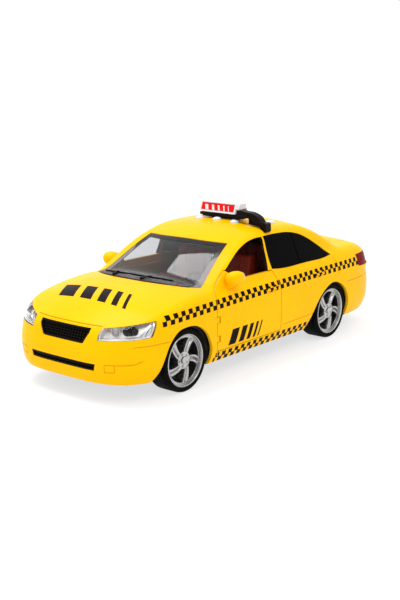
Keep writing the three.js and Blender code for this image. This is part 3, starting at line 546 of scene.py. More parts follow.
def printed_sign(name, axis_y0, axis_y1, z0, z1):
    """Red panel with plain white slanted bars."""
    n = Nodes(name)
    x, y, z = n.xyz()
    on = n.between(z, z0, z1)
    sy = n.math("ADD", y, n.math("MULTIPLY", n.math("SUBTRACT", z, (z0 + z1) / 2), 0.35))
    span = axis_y1 - axis_y0
    marks = None
    for k, w in ((0.16, 2.6), (0.36, 2.0), (0.54, 1.5), (0.70, 1.05), (0.84, 0.7)):
        at = axis_y0 + span * k
        m = n.math("MULTIPLY", n.between(sy, at - w / 2, at + w / 2), on)
        marks = m if marks is None else n.math("MAXIMUM", marks, m)
    red = n.mix(n.ramp(n.noise(70.0, 3.0), 0.35, 0.65, 0.0, 1.0), srgb(206, 4, 14), srgb(222, 8, 20))
    n.put(n.mix(marks, red, srgb(246, 214, 214)), n.bsdf.inputs["Base Color"])
    n.put(n.ramp(n.noise(150.0, 3.0), 0.3, 0.7, 0.25, 0.35), n.bsdf.inputs["Roughness"])
    n.bump(marks, 0.2, 0.0001)
    n.set(coat=0.05, coat_rough=0.08, spec=0.1)
    return n.mat


PAINT = body_paint()
YELLOW = plastic("yellow_plastic", srgb(250, 187, 1), 0.25, 0.01, 0.03, 0.08, 60.0, spec=0.04)
YELLOW_IN = plastic("yellow_plastic_inside", srgb(240, 182, 2), 0.4, 0.0, 0.05, 0.12, 400.0)
BLACK_GLOSS = plastic("gloss_black", srgb(3, 3, 3), 0.1, 0.0, 0.2, 0.04, 60.0, spec=0.02)
FRIT = plastic("black_print", srgb(24, 19, 17), 0.14, 0.0, 0.2, 0.05, 200.0, spec=0.2)
# mid grey for the black border along the pillars: a painted reflection on the black print
FRIT_REFLECTION_GREY = plastic("frit_painted_reflection", srgb(118, 112, 112), 0.3, 0.0, 0.08, 0.2, 600.0, spec=0.3)
BLACK = plastic("satin_black", srgb(15, 10, 7), 0.38, 0.0, 0.2, 0.3, 1400.0, spec=0.07)
BLACK_MATT = plastic("matt_black", srgb(22, 21, 21), 0.6, 0.0, 0.25, 0.5, 1600.0)
GREY = plastic("cowl_grey", srgb(74, 71, 74), 0.45, 0.0, 0.15, 0.4, 1400.0)
WHITE = plastic("white_plastic", srgb(218, 217, 220), 0.3, 0.1, 0.03, 0.08, 90.0, spec=0.3)
RED_LENS = plastic("dark_red_lens", srgb(126, 2, 11), 0.14, 0.0, 0.25, 0.1, 500.0, spec=0.02)
SEAT = plastic("seat_orange", srgb(150, 40, 12), 0.5, 0.0, 0.15, 0.5, 1500.0)
GEARS = plastic("acetal", srgb(228, 216, 188), 0.4, 0.0, 0.06, 0.15, 700.0)
GEARBOX = plastic("gearbox_grey", srgb(74, 74, 78), 0.5, 0.0, 0.15, 0.4, 1500.0)
BOARD = plastic("board_green", srgb(10, 34, 20), 0.45, 0.0, 0.2, 0.3, 800.0, spec=0.2)
GLASS = glass("clear_screen", (0.5, 0.51, 0.53, 1.0), 0.02, 1.3)
LENS = glass("clear_lens", (0.96, 0.97, 0.98, 1.0))
CHROME = metal("bright_reflector", (0.78, 0.77, 0.76, 1.0), 0.22, 0.05)
TRAY = metal("lamp_tray", (0.9, 0.87, 0.84, 1.0), 0.42, 0.05)
SILVER = metal("silver_plated", (0.5, 0.495, 0.49, 1.0), 0.27, 0.08)
STEEL = metal("steel", (0.6, 0.6, 0.62, 1.0), 0.3, 0.2, (1, 8, 1))
# darker metal for rim faces set deep in the wheel: painted shade in the spoke gaps and behind the face
WHEEL_RECESS_SHADE = metal("wheel_recess_painted_shade", (0.13, 0.13, 0.14, 1.0), 0.4, 0.3)
AMBER = plastic("amber_facet", srgb(232, 140, 40), 0.12, 0.8, 0.1, 0.1, 300.0)
TYRE = rubber("tyre_black")

# ----------------------------------------------------------------- outlines
DOOR = spline([[-15.6, 19], [51.6, 19], [52.0, 25], [52.0, 36], [51.7, 45.5], [51.0, 50.5], [49.1, 54.9], [45.2, 58.6], [40.8, 61.7], [34.0, 65.6], [29.5, 62.4], [26.0, 58.9], [-12.2, 58.9], [-14.2, 53], [-15.9, 44], [-15.9, 34]], (0, 1, 9, 11, 12), 4)
FRONT_WINDOW = spline([[34.0, 65.5], [28.3, 69.0], [21.4, 73.0], [14.2, 76.4], [4.6, 79.4], [-3.8, 80.6], [-10.6, 80.7], [-9.6, 73.1], [-9.2, 65.4], [-8.2, 58.5], [26.0, 58.0]], (0, 6, 9, 10), 5)
REAR_WINDOW = spline([[-12.0, 80.9], [-26.7, 80.9], [-43.4, 79.6], [-52.1, 77.5], [-60.5, 74.0], [-68.9, 69.4], [-77.2, 64.2], [-84.0, 59.2], [-75.4, 58.4], [-52.1, 58.4], [-22.6, 58.6], [-12.9, 59.7], [-11.8, 66]], (0, 7, 11), 5)
SCREEN = spline([[14.2, 32.9], [24.8, 35.2], [34.6, 37.4], [44.0, 39.6], [54.0, 42.6], [60.0, 39.0], [66.0, 29.5], [70.5, 16.0], [71.8, 0.0], [70.5, -16.0], [66.0, -29.5], [60.0, -39.0], [54.0, -42.6], [44.0, -39.6], [34.6, -37.4], [24.8, -35.2], [14.2, -32.9], [17.0, -20], [18.2, 0], [17.0, 20]], (0, 4, 12, 16), 5)
BACK_SCREEN = spline([[-86, 27.5], [-109, 33.5], [-111.5, 20], [-112.5, 0], [-111.5, -20], [-109, -33.5], [-86, -27.5], [-83.5, -14], [-82.8, 0], [-83.5, 14]], (0, 1, 5, 6), 5)
GRILLE = [[-20.6, 43.4], [20.6, 43.4], [20.4, 40.7], [16.8, 34.6], [15.4, 34.2], [-15.4, 34.2], [-16.8, 34.6], [-20.4, 40.7]]
INTAKE = [[-26.6, 23.8], [26.6, 23.8], [25.6, 19.7], [-25.6, 19.7]]
LAMP_FRONT = spline([[27.3, 43.9], [35.0, 44.9], [44.1, 46.6], [50.6, 48.1], [53.0, 47.6], [53.4, 40.6], [51.0, 39.2], [46.6, 38.7], [37.5, 37.9], [27.0, 37.2], [26.6, 41.2]], (0, 3, 4, 5, 9), 4)
LAMP_SIDE = [[103.4, 48.2], [104.3, 45.9], [108.3, 39.2], [111, 38.6], [135, 36], [135, 50]]
TAIL_SIDE = [[-115.2, 54.9], [-155, 55.2], [-155, 45.2], [-131, 45.3], [-117.4, 46.2]]
TAIL_BACK = [[30, 54.9], [56, 54.9], [56, 45.2], [30, 46.4]]
ARCH_FRONT = spline([[56.9, 5], [57.2, 12], [56.6, 18], [57.5, 24], [62.6, 33.5], [71.9, 39.4], [80, 40.4], [88.2, 39.2], [95.5, 33.5], [99.8, 26.0], [104, 17], [107.5, 12], [107.5, 5]], (0, 11, 12), 5)
ARCH_REAR = spline([[-101, 5], [-101, 12], [-101.6, 18], [-100.8, 26.6], [-94.8, 35.2], [-87, 39.4], [-80, 40.4], [-73.3, 38.6], [-65, 33.8], [-58, 27], [-52.7, 19.9], [-47.5, 12], [-47.5, 5]], (0, 11, 12), 5)
BUTTONS = [[-16.4, 15], [-16.4, 0], [-16.4, -15], [-38, 29]]
HINGE_X, HINGE_Y = 50.6, 53.6
both = (1, -1)
span = lambda s, a, b: (a, b) if s > 0 else (-b, -a)


def surface_z(x, y, lift=0.0):
    """Height of the body's surface above a point in plan."""
    lo, hi = 40.0, 100.0
    for _ in range(30):
        mid = (lo + hi) / 2
        if float(body_field(np.float64(x), np.float64(y), np.float64(mid))) - lift < 0:
            lo = mid
        else:
            hi = mid
    return lo


def bevelled(o, width, segments=2, angle=35):
    m = o.modifiers.new("bevel", "BEVEL")
    m.width, m.segments, m.limit_method, m.angle_limit = width, segments, "ANGLE", math.radians(angle)
    m.use_clamp_overlap = True
    dg = bpy.context.evaluated_depsgraph_get()
    me = bpy.data.meshes.new_from_object(o.evaluated_get(dg))
    o.modifiers.clear()
    old, o.data = o.data, me
    if old.users == 0:
        bpy.data.meshes.remove(old)
    return o


def lathe(profile, n, cap=True, ripple=None):
    """A closed form turned about the Y axis. profile: (radius, y). ripple(angle, radius, y) moves (radius, y)."""
    v, f = [], []
    m = len(profile)
    for i in range(n):
        t = i * 2 * math.pi / n
        for r, y in profile:
            if ripple is not None:
                r, y = ripple(t, r, y)
            v.append((r * math.cos(t), y, r * math.sin(t)))
    for i in range(n):
        k = (i + 1) % n
        for j in range(m if not cap else m - 1):
            f.append((i * m + j, i * m + (j + 1) % m, k * m + (j + 1) % m, k * m + j))
    o = raw("lathe", v, f)
    bm = bmesh.new()
    bm.from_mesh(o.data)
    bmesh.ops.remove_doubles(bm, verts=bm.verts, dist=1e-5)
    bmesh.ops.dissolve_degenerate(bm, dist=1e-6, edges=bm.edges)
    bmesh.ops.recalc_face_normals(bm, faces=bm.faces)
    bm.to_mesh(o.data)
    bm.free()
    return o


def moved(o, x=0, y=0, z=0, rot=None):
    if rot is not None:
        o.data.transform(rot)
    o.data.transform(Matrix.Translation(Vector((x, y, z))))
    return o


def swept(points, w, h, name="swept"):
    """A box section of width w and height h along a path, its base on the path."""
    p = [Vector(q) for q in points]
    v, f = [], []
    for i, q in enumerate(p):
        t = (p[min(i + 1, len(p) - 1)] - p[max(i - 1, 0)]).normalized()
        s = Vector((-t.y, t.x, 0)).normalized()
        up = t.cross(s).normalized()
        if up.z < 0:
            up = -up
        for a, b in ((-0.5, 0), (0.5, 0), (0.36, 1), (-0.36, 1)):
            v.append(q + s * a * w + up * b * h)
    for i in range(len(p) - 1):
        for k in range(4):
            f.append((i * 4 + k, i * 4 + (k + 1) % 4, i * 4 + 4 + (k + 1) % 4, i * 4 + 4 + k))
    f += [(0, 1, 2, 3), tuple(len(v) - 4 + k for k in (3, 2, 1, 0))]
    o = raw(name, v, f)
    bm = bmesh.new()
    bm.from_mesh(o.data)
    bmesh.ops.recalc_face_normals(bm, faces=bm.faces)
    bm.to_mesh(o.data)
    bm.free()
    return o


# --------------------------------------------------------------- body shell
SKIN = 2.0
shell = band(0.0, SKIN)
door_skin = copy(shell)
KNUCKLES = ((25, 28.5), (37, 40.5))
body = shell
for s in both:
    body = cut(body, prism("y", grow(DOOR, 0.5), *span(s, 43, 70)))
    body = cut(body, prism("y", FRONT_WINDOW, *span(s, 37.5, 70)))
    body = cut(body, prism("y", REAR_WINDOW, *span(s, 37.5, 70)))
    for arch in (ARCH_FRONT, ARCH_REAR):
        body = cut(body, prism("y", arch, *span(s, 34, 70)))
body = cut(body, prism("z", SCREEN, 56, 90))
body = cut(body, prism("z", BACK_SCREEN, 60, 90))
body = cut(body, prism("x", GRILLE, 110, 140))
body = cut(body, prism("x", INTAKE, 110, 140))
lamp_l = meet(prism("x", LAMP_FRONT, 98, 140), prism("y", LAMP_SIDE, 20, 70))
lamp_r = mirror(lamp_l, "lamp_r")
tail_l = meet(prism("y", TAIL_SIDE, 30, 70), prism("x", TAIL_BACK, -160, -110))
tail_r = mirror(tail_l, "tail_r")
for c in (lamp_l, lamp_r, tail_l, tail_r):
    body = cut(body, c)
for x, y in BUTTONS:
    body = cut(body, rod("z", 3.55, 70, 95, x, y))
for y in (-8, 8):
    body = cut(body, rod("z", 2.0, 75, 95, -24, y, 24))
for s in both:
    for a, b in KNUCKLES:
        y = s * HINGE_Y
        body = join(body, rod("z", 1.0, a, b, HINGE_X, y, 24))
        body = join(body, box(HINGE_X, 53.2, min(y - 0.95, y + 0.95), max(y - 0.95, y + 0.95), a, b))
    body = cut(body, rod("z", 0.62, 15, 60, HINGE_X, s * HINGE_Y, 16))

# Shut lines and seams pressed into the skin
SEAMS_Y = [
    [(111.5, 34.7), (104.7, 34.9), (96.0, 34.7)],
    [(-98.5, 37.9), (-110, 38.0), (-125, 38.1)],
    [(-84.0, 58.0), (-86.6, 54.5), (-88.2, 50.0), (-88.4, 44.0)],
    [(-56.5, 22.9), (-40, 22.4), (-18.5, 22.2)],
]
SEAMS_X_FRONT = [
    [(-26.4, 44.6), (-20, 44.7), (0, 44.8), (20, 44.7), (26.4, 44.6)],
    [(32.6, 24.1), (38.4, 24.4), (38.2, 20.0), (32.5, 19.7), (32.6, 24.1)],
    [(-32.6, 24.1), (-38.4, 24.4), (-38.2, 20.0), (-32.5, 19.7), (-32.6, 24.1)],
    [(38.4, 24.4), (43.0, 24.5), (47.6, 24.9), (50.0, 26.4)],
    [(-38.4, 24.4), (-43.0, 24.5), (-47.6, 24.9), (-50.0, 26.4)],
    [(46.5, 34.7), (54, 34.7)],
    [(-46.5, 34.7), (-54, 34.7)],
]
SEAMS_X_BACK = [
    [(-56, 38.1), (-30, 38.1), (0, 38.1), (30, 38.1), (56, 38.1)],
    [(-29.6, 62), (-29.0, 52), (-27.0, 43.0), (-24.0, 41.6), (0, 41.4), (24.0, 41.6), (27.0, 43.0), (29.0, 52), (29.6, 62)],
]
seam = None
for s in both:
    for path in SEAMS_Y:
        b = prism("y", strip(path, 0.42), *span(s, 40, 70))
        seam = b if seam is None else join(seam, b)
for path in SEAMS_X_FRONT:
    if path[0] == path[-1]:
        loop = path[:-1]
        b = cut(prism("x", grow(loop, 0.2), 105, 140), prism("x", grow(loop, -0.2), 100, 145))
    else:
        b = prism("x", strip(path, 0.42), 105, 140)
    seam = join(seam, b)
for path in SEAMS_X_BACK:
    seam = join(seam, prism("x", strip(path, 0.45), -160, -128))
for s in both:
    deck_line = spline([(-119.5, 34.5), (-135, 34.2), (-146, 31.6), (-156, 29.6)], (), 4, False)
    seam = join(seam, prism("z", strip([(x, s * y) for x, y in deck_line], 0.45), 52, 70))
seam = cut(seam, hull(0.55, 3.0))
body = cut(body, seam)
# plate recess on the boot lid
plate_cut = cut(prism("x", spline([[-14.5, 45.2], [14.5, 45.2], [14.5, 53.2], [-14.5, 53.2]], (0, 1, 2, 3), 1), -160, -130), hull(0.9, 3.0))
body = cut(body, plate_cut)
for x in (112, -122):
    body = join(body, rod("z", 3.2, 13.6, 50.4 if x > 0 else 63.0, x, 0, 24))
    body = cut(body, rod("z", 1.3, 10, 26, x, 0, 20))
skin_pick = lambda c, n: np.where(body_field(c[:, 0], c[:, 1], c[:, 2]) > -0.3, 0, np.where((n[:, 0] > 0.6) & (np.abs(c[:, 0] + 9.4) < 1.9) & (c[:, 2] > 58.0), 2, 1))
SKINS = [(0.0, 1), (SKIN, -1)]
done(body, "body_skin", [PAINT, YELLOW_IN, FRIT], "car_body", ["body_shell"], "body_yellow", insets=SKINS, pick=skin_pick)

# -------------------------------------------------------------------- doors
door = meet(door_skin, prism("y", DOOR, 43.5, 70))
tube = meet(rod("z", 1.25, 19.6, 45, HINGE_X - 0.1, HINGE_Y - 0.5, 32), hull(0.0, 12.0))
door = join(door, tube)
for a, b in KNUCKLES:
    door = cut(door, box(49.0, 54, 45, 60, a - 0.35, b + 0.35))
door = cut(door, rod("z", 0.62, 10, 46, HINGE_X, HINGE_Y, 16))
rib = meet(box(-11, 40, 45.2, 49.5, 52.5, 54), hull(0.6, 12.0))
door = join(door, rib)
door_r = mirror(door, "door_r")
done(door, "left_door_skin", [PAINT, YELLOW_IN], "left_door", ["left_front_door"], "body_yellow", insets=SKINS, pick=skin_pick)
done(door_r, "right_door_skin", [PAINT, YELLOW_IN], "right_door", ["right_front_door"], "body_yellow", insets=SKINS, pick=skin_pick)


def handle(x0, x1, z):
    """A pull handle: a rounded bar that stands 1 mm off the skin on two feet."""
    pts = spline([[x0, z - 0.9], [(x0 + x1) / 2, z - 1.15], [x1, z - 0.9], [x1 + 0.5, z], [x1, z + 0.9], [(x0 + x1) / 2, z + 1.1], [x0, z + 0.9], [x0 - 0.5, z]], (), 3)
    h = meet(prism("y", pts, 48, 60), cut(hull(-1.1, 12.0), hull(0.3, 9.0)))
    scoop = prism("y", [[x0 + 2, z - 0.5], [x1 - 2, z - 0.5], [x1 - 2, z + 0.35], [x0 + 2, z + 0.35]], 54.7, 60)
    return bevelled(cut(h, scoop), 0.3, 2)


for part, x0, x1, z in (("front", -11.6, -0.4, 49.0), ("rear", -69.0, -57.4, 49.9)):
    h = handle(x0, x1, z)
    h2 = mirror(h, "h2")
    done(h, f"left_{part}_handle", [PAINT], "left_door" if part == "front" else "car_body", slot="body_yellow", angle=50)
    done(h2, f"right_{part}_handle", [PAINT], "right_door" if part == "front" else "car_body", slot="body_yellow", angle=50)


def door_mirror():
    nu, nv = 64, 40
    v, f = [], []
    for j in range(nv + 1):
        b = -math.pi / 2 + math.pi * j / nv
        for i in range(nu):
            a = 2 * math.pi * i / nu
            sg = lambda t, e: math.copysign(abs(t) ** e, t)
            cx, cy, cz = sg(math.cos(a), 0.85) * math.cos(b) ** 0.85, sg(math.sin(a), 0.85) * math.cos(b) ** 0.85, sg(math.sin(b), 0.85)
            x, y, z = 32.5 + 6.0 * cx, 52.6 + 5.6 * cy, 61.4 + 4.6 * cz
            v.append((max(x, 27.9), y, z + 0.12 * (y - 53.2)))
    for j in range(nv):
        for i in range(nu):
            f.append((j * nu + i, j * nu + (i + 1) % nu, (j + 1) * nu + (i + 1) % nu, (j + 1) * nu + i))
    o = raw("mirror", v, f)
    bm = bmesh.new()
    bm.from_mesh(o.data)
    bmesh.ops.remove_doubles(bm, verts=bm.verts, dist=1e-3)
    bmesh.ops.dissolve_degenerate(bm, dist=1e-4, edges=bm.edges)
    bmesh.ops.recalc_face_normals(bm, faces=bm.faces)
    bm.to_mesh(o.data)
    bm.free()
    stalk = prism("x", spline([[45.0, 55.4], [51.0, 55.2], [53.4, 57.2], [54.5, 60.0], [50.5, 61.5], [46.0, 60.0]], (), 4), 29.6, 36.4)
    m = join(o, bevelled(stalk, 0.7, 3))
    return cut(m, hull(0.05, 3.0))


m = door_mirror()
m2 = mirror(m, "m2")
done(m, "left_mirror_housing", [YELLOW], "left_door", ["left_mirror"], "body_yellow", angle=50)
done(m2, "right_mirror_housing", [YELLOW], "right_door", ["right_mirror"], "body_yellow", angle=50)
for s, n in ((1, "left"), (-1, "right")):
    pane = prism("x", spline([[48.6, 61.0], [52.6, 58.4], [56.8, 61.4], [56.2, 64.0], [52.6, 64.9], [49.0, 63.6]], (), 6), 27.55, 27.95)
    if s < 0:
        pane2 = mirror(pane, "pane2")
        drop(pane)
        pane = pane2
    done(pane, f"{n}_mirror_pane", [CHROME], f"{n}_door", slot="chrome")

# ------------------------------------------------------------------ glazing
SCREEN_IN = [(x + (1.2 if x < 22 else 0.0), y) for x, y in grow(SCREEN, -2.4)]
SCREEN_IN = [(x + (2.2 if x > 50 else 0.0), y * (0.95 if x < 57 else 1.0)) for x, y in SCREEN_IN]
screen = meet(band(0.3, 1.5), prism("z", grow(SCREEN, -0.25), 56, 90))
frit = cut(copy(screen), prism("z", SCREEN_IN, 50, 95))
pane = meet(screen, prism("z", grow(SCREEN_IN, -0.02), 50, 95))
done(pane, "windscreen_pane", [GLASS], "car_body", ["windscreen"], "clear_glass", insets=[(0.3, 1), (1.5, -1)])
# the outer faces of the border along the pillars are painted grey, a painted reflection of the bright studio
done(frit, "windscreen_border", [FRIT, FRIT_REFLECTION_GREY], "car_body", slot="black_glass", insets=[(0.3, 1), (1.5, -1)], pick=lambda c, n: np.where((np.abs(c[:, 1]) > 33.0) & (c[:, 0] > 27.0) & (n[:, 2] > 0.2), 1, 0))
back = meet(band(0.3, 1.5), prism("z", grow(BACK_SCREEN, -0.25), 60, 90))
heater = None
for k in range(7):
    x = -88.5 - 3.0 * k
    b = prism("z", [[x, -24 - k], [x + 0.25, -24 - k], [x + 0.25, 24 + k], [x, 24 + k]], 60, 95)
    heater = b if heater is None else join(heater, b)
heater = cut(heater, hull(0.36, 3.0))
back = cut(back, heater)
done(back, "rear_screen_pane", [BLACK_GLOSS], "car_body", ["rear_screen"], "black_glass", insets=[(0.3, 1), (1.5, -1)])
side = meet(band(0.35, 1.5), prism("y", grow(REAR_WINDOW, -0.2), 37.8, 70))
divider = cut(prism("y", strip([(-42.6, 82), (-46.8, 56)], 1.3), 37, 70), hull(0.6, 3.0))
side = cut(side, divider)
side_r = mirror(side, "side_r")
done(side, "left_rear_side_pane", [BLACK_GLOSS], "car_body", ["left_rear_side_glass"], "black_glass", insets=[(0.35, 1), (1.5, -1)])
done(side_r, "right_rear_side_pane", [BLACK_GLOSS], "car_body", ["right_rear_side_glass"], "black_glass", insets=[(0.35, 1), (1.5, -1)])

# -------------------------------------------------------- cowl and wipers
COWL = spline([[59.0, -38.0], [63.4, -33.4], [67.6, -22], [70.2, -9], [70.8, 0], [70.2, 9], [67.6, 22], [63.4, 33.4], [59.0, 38.0], [58.2, 37.2], [62.4, 28.5], [64.4, 18], [66.4, 0], [64.4, -18], [62.4, -28.5], [58.2, -37.2]], (0, 8, 9, 15), 4)
cowl = meet(band(-0.55, 0.15), prism("z", COWL, 54, 72))
slots = None
for k in range(-9, 10):
    if k == 0:
        continue
    y = k * 3.5
    x = 68.6 - 0.0062 * y * y
    b = prism("z", [[x - 1.5, y - 0.35], [x + 1.3, y - 0.35], [x + 1.3, y + 0.35], [x - 1.5, y + 0.35]], 54, 75)
    slots = b if slots is None else join(slots, b)
slots = cut(slots, hull(-0.2, 3.0))
done(cut(cowl, slots), "scuttle_strip", [GREY], "car_body", ["wiper_cowl"], "black_plastic", angle=40)
for k, (a, b, pivot) in enumerate((((60.5, -31.0), (64.2, -3.5), (68.0, -16.0)), ((64.6, -4.5), (60.2, 26.0), (68.8, 8.0)))):
    line = [(a[0] + (b[0] - a[0]) * t, a[1] + (b[1] - a[1]) * t) for t in np.linspace(0, 1, 14)]
    bow = lambda t: 1.6 * math.sin(math.pi * t) * (1 if k == 0 else 1)
    path = [(x + bow(i / 13), y, surface_z(x + bow(i / 13), y, 0.0) + 0.35) for i, (x, y) in enumerate(line)]
    blade = bevelled(swept(path, 0.9, 1.1), 0.15, 2)
    done(blade, f"wiper_blade_{k + 1}", [BLACK], "car_body", slot="black_plastic", angle=40)
    mid = path[7]
    arm = [(pivot[0], pivot[1], surface_z(*pivot) + 0.5), ((pivot[0] + mid[0]) / 2 - 0.2, (pivot[1] + mid[1]) / 2, surface_z((pivot[0] + mid[0]) / 2, (pivot[1] + mid[1]) / 2) + 1.5), (mid[0], mid[1], mid[2] + 0.9)]
    done(bevelled(swept(arm, 1.7, 0.8), 0.2, 2), f"wiper_arm_{k + 1}", [BLACK], "car_body", slot="black_plastic", angle=40)
    done(bevelled(rod("z", 1.5, arm[0][2] - 0.6, arm[0][2] + 1.3, pivot[0], pivot[1], 32), 0.3, 2), f"wiper_pivot_{k + 1}", [BLACK], "car_body", slot="black_plastic", angle=40)

# -------------------------------------------------------------------- nose
def mesh_grille(outline, y_step, z_step, y_lim, z0, z1, slant=0.0):
    frame_ring = cut(prism("x", grow(outline, -0.25), 110, 140), prism("x", grow(outline, -1.1), 105, 145))
    bars = meet(cut(hull(0.25, 12.0), hull(2.6, 3.0)), frame_ring)
    grid = None
    z = z0
    while z < z1:
        b = box(110, 140, -y_lim, y_lim, z - 0.2, z + 0.2)
        grid = b if grid is None else join(grid, b)
        z += z_step
    y = -y_lim
    while y <= y_lim:
        grid = join(grid, prism("x", strip([(y - slant, z0 - 2), (y + slant, z1 + 2)], 0.36), 110.5, 139.5))
        y += y_step
    grid = meet(grid, prism("x", grow(outline, -0.7), 109, 141))
    grid = meet(grid, cut(hull(1.0, 12.0), hull(2.0, 3.0)))
    back_plate = meet(cut(hull(1.9, 12.0), hull(2.6, 3.0)), prism("x", grow(outline, -0.5), 110, 140))
    return join(join(bars, grid), back_plate)


done(mesh_grille(GRILLE, 2.3, 1.5, 21.0, 35.4, 43.0, 0.5), "grille_mesh", [BLACK], "car_body", ["grille"], "black_plastic", angle=40)
done(mesh_grille(INTAKE, 1.9, 1.25, 26.4, 20.6, 23.6, 0.0), "intake_mesh", [BLACK], "car_body", ["lower_intake"], "black_plastic", angle=40)

# --------------------------------------------------------------- headlamps
LAMP_IN = lambda d: meet(prism("x", grow(LAMP_FRONT, -d), 98.0 + d, 140), prism("y", grow(LAMP_SIDE, -d), 20, 70))
lens = meet(band(0.05, 1.0), LAMP_IN(0.25))
tray = meet(cut(hull(3.4, 12.0), hull(4.4, 9.0)), LAMP_IN(0.3))
wall = cut(meet(cut(hull(1.05, 12.0), hull(4.2, 9.0)), LAMP_IN(0.3)), LAMP_IN(0.95))
tray = join(tray, wall)
N1 = Vector((0.85, 0.5, 0.16)).normalized()


def lamp_cup(r, depth, centre, direction, bowl):
    """A round lamp: a rim, a bowl and a small bulb or a dark projector lens."""
    if bowl:
        prof = [(0, -depth), (r * 0.32, -depth), (r * 0.7, -depth * 0.72), (r * 0.93, -0.25), (r * 0.97, 0.1), (r * 1.08, 0.1), (r * 1.1, -0.3), (r * 1.02, -depth * 0.9), (r * 0.6, -depth - 0.5), (0, -depth - 0.6)]
    else:
        prof = [(0, 0.95), (r * 0.35, 0.85), (r * 0.62, 0.5), (r * 0.8, 0.0), (r * 0.84, -0.4), (r * 0.98, -0.35), (r * 1.04, -0.5), (r * 1.05, -depth), (0, -depth)]
    o = lathe(prof, 56)
    rot = Vector((0, 1, 0)).rotation_difference(direction).to_matrix().to_4x4()
    return moved(o, *centre, rot=rot)


lamp_parts = [("lens_shell", lens, [LENS], "clear_glass", [(0.05, 1), (1.0, -1)]), ("tray", tray, [TRAY], "chrome", None)]
lamp_parts.append(("inner_cup", lamp_cup(2.45, 1.5, (120.7, 34.9, 42.0), N1, True), [CHROME], "chrome", None))
lamp_parts.append(("inner_bulb", lamp_cup(0.75, 1.0, (120.3, 34.3, 41.9), N1, False), [WHITE], "white_plastic", None))
N2 = Vector((0.74, 0.65, 0.16)).normalized()
oval = lamp_cup(2.75, 1.6, (0, 0, 0), Vector((0, 1, 0)), False)
oval.data.transform(Matrix.Diagonal((1.55, 1.0, 1.0, 1.0)))
lamp_parts.append(("projector", moved(oval, 116.0, 42.0, 42.3, rot=Matrix.Rotation(math.radians(-48), 4, "Z")), [BLACK_GLOSS], "black_glass", None))
lamp_parts.append(("projector_lens", lamp_cup(1.7, 0.8, (116.7, 42.6, 42.4), N2, False), [BLACK_GLOSS], "black_glass", None))
facets = None
for k in range(4):
    y = 47.2 + 1.15 * k
    b = meet(prism("x", [[y, 38.5], [y + 0.75, 38.5], [y + 1.5, 48.5], [y + 0.75, 48.5]], 98, 130), cut(hull(1.9, 12.0), hull(3.6, 9.0)))
    facets = b if facets is None else join(facets, b)
facets = meet(facets, LAMP_IN(0.9))
lamp_parts.append(("facets", facets, [CHROME], "chrome", None))
amber = meet(meet(prism("x", [[46.4, 38.5], [49.6, 38.5], [52.0, 48.5], [49.0, 48.5]], 96, 125), cut(hull(2.6, 12.0), hull(3.3, 9.0))), LAMP_IN(1.0))
lamp_parts.append(("amber_facet", amber, [AMBER], "clear_glass", None))
stand_for = {"lens_shell": "headlamp_lens", "tray": "headlamp_reflector"}
for part, o, mats, slot_name, ins in lamp_parts:
    o2 = mirror(o, "lr")
    for obj, n in ((o, "left"), (o2, "right")):
        done(obj, f"{n}_lamp_{part}", mats, "car_body", [f"{n}_{stand_for[part]}"] if part in stand_for else [], slot_name, insets=ins, angle=40)

# --------------------------------------------------------------- tail lamps
tail_in = meet(prism("y", grow(TAIL_SIDE, -0.25), 30, 70), prism("x", grow(TAIL_BACK, -0.25), -160, -110))
tail = meet(band(0.0, 1.8), tail_in)
ribs = None
for k in range(8):
    z = 46.2 + 1.15 * k
    b = box(-160, -112, 28, 60, z, z + 0.3)
    ribs = b if ribs is None else join(ribs, b)
tail = cut(tail, cut(ribs, hull(0.3, 3.0)))
tail2 = mirror(tail, "t2")
done(tail, "left_tail_lens", [RED_LENS], "car_body", ["left_tail_lamp"], "red_lens", insets=[(0.0, 1), (1.8, -1)])
done(tail2, "right_tail_lens", [RED_LENS], "car_body", ["right_tail_lamp"], "red_lens", insets=[(0.0, 1), (1.8, -1)])
plate = meet(cut(hull(0.35, 12.0), hull(0.85, 3.0)), prism("x", spline([[-13.6, 46.0], [13.6, 46.0], [13.6, 52.4], [-13.6, 52.4]], (0, 1, 2, 3), 1), -160, -130))
done(plate, "blank_plate", [WHITE], "car_body", slot="white_plastic", insets=[(0.35, 1)])

# ------------------------------------------------------------------ wheels
WHEEL_Y, AXLE_Z = 53.0, 19.4


def smooth_step(t):
    t = np.clip(t, 0, 1)
    return t * t * (3 - 2 * t)


def wheel_face(r, a):
    """Depth of the wheel's face at radius r and angle a; 0 is the tyre's outer face."""
    lip = -0.15 - 0.5 * ((r - 15.75) / 0.55) ** 2
    step = np.where(r > 15.2, lip, np.where(r > 14.5, -1.5, -2.3))
    h = np.full_like(r, -8.2)
    for k in range(5):
        c = math.radians(PHASE + 72 * k) + 0.034 * (r - 5.0)
        d = (a - c + math.pi) % (2 * math.pi) - math.pi
        s = r * d
        w = 1.75 + 0.085 * (r - 5)
        top = -1.3 - 0.085 * (r - 5)
        ridge = top - 1.5 * np.exp(-((s / 0.62) ** 2))
        h = np.maximum(h, np.where(np.abs(s) < w + 0.9, ridge - 7.0 * smooth_step((np.abs(s) - w) / 0.9), -8.2))
    hub = np.where(r < 2.1, -1.1 - 0.1 * r**2 / 4, -1.9)
    h = np.where(r < 5.3, np.maximum(h * 0 + hub, -9), np.maximum(h, -1.9 - 8 * smooth_step((r - 5.3) / 0.7)))
    for k in range(5):
        t = math.radians(PHASE + 36 + 72 * k)
        q = np.hypot(r * np.cos(a) - 3.7 * math.cos(t), r * np.sin(a) - 3.7 * math.sin(t))
        h = np.where(q < 0.62, -1.35, h)
    h = np.where((r > 2.1) & (r < 2.5), -2.4, h)
    return np.where(r > 13.7, np.maximum(step, -8.2), h)


PHASE = 104.0


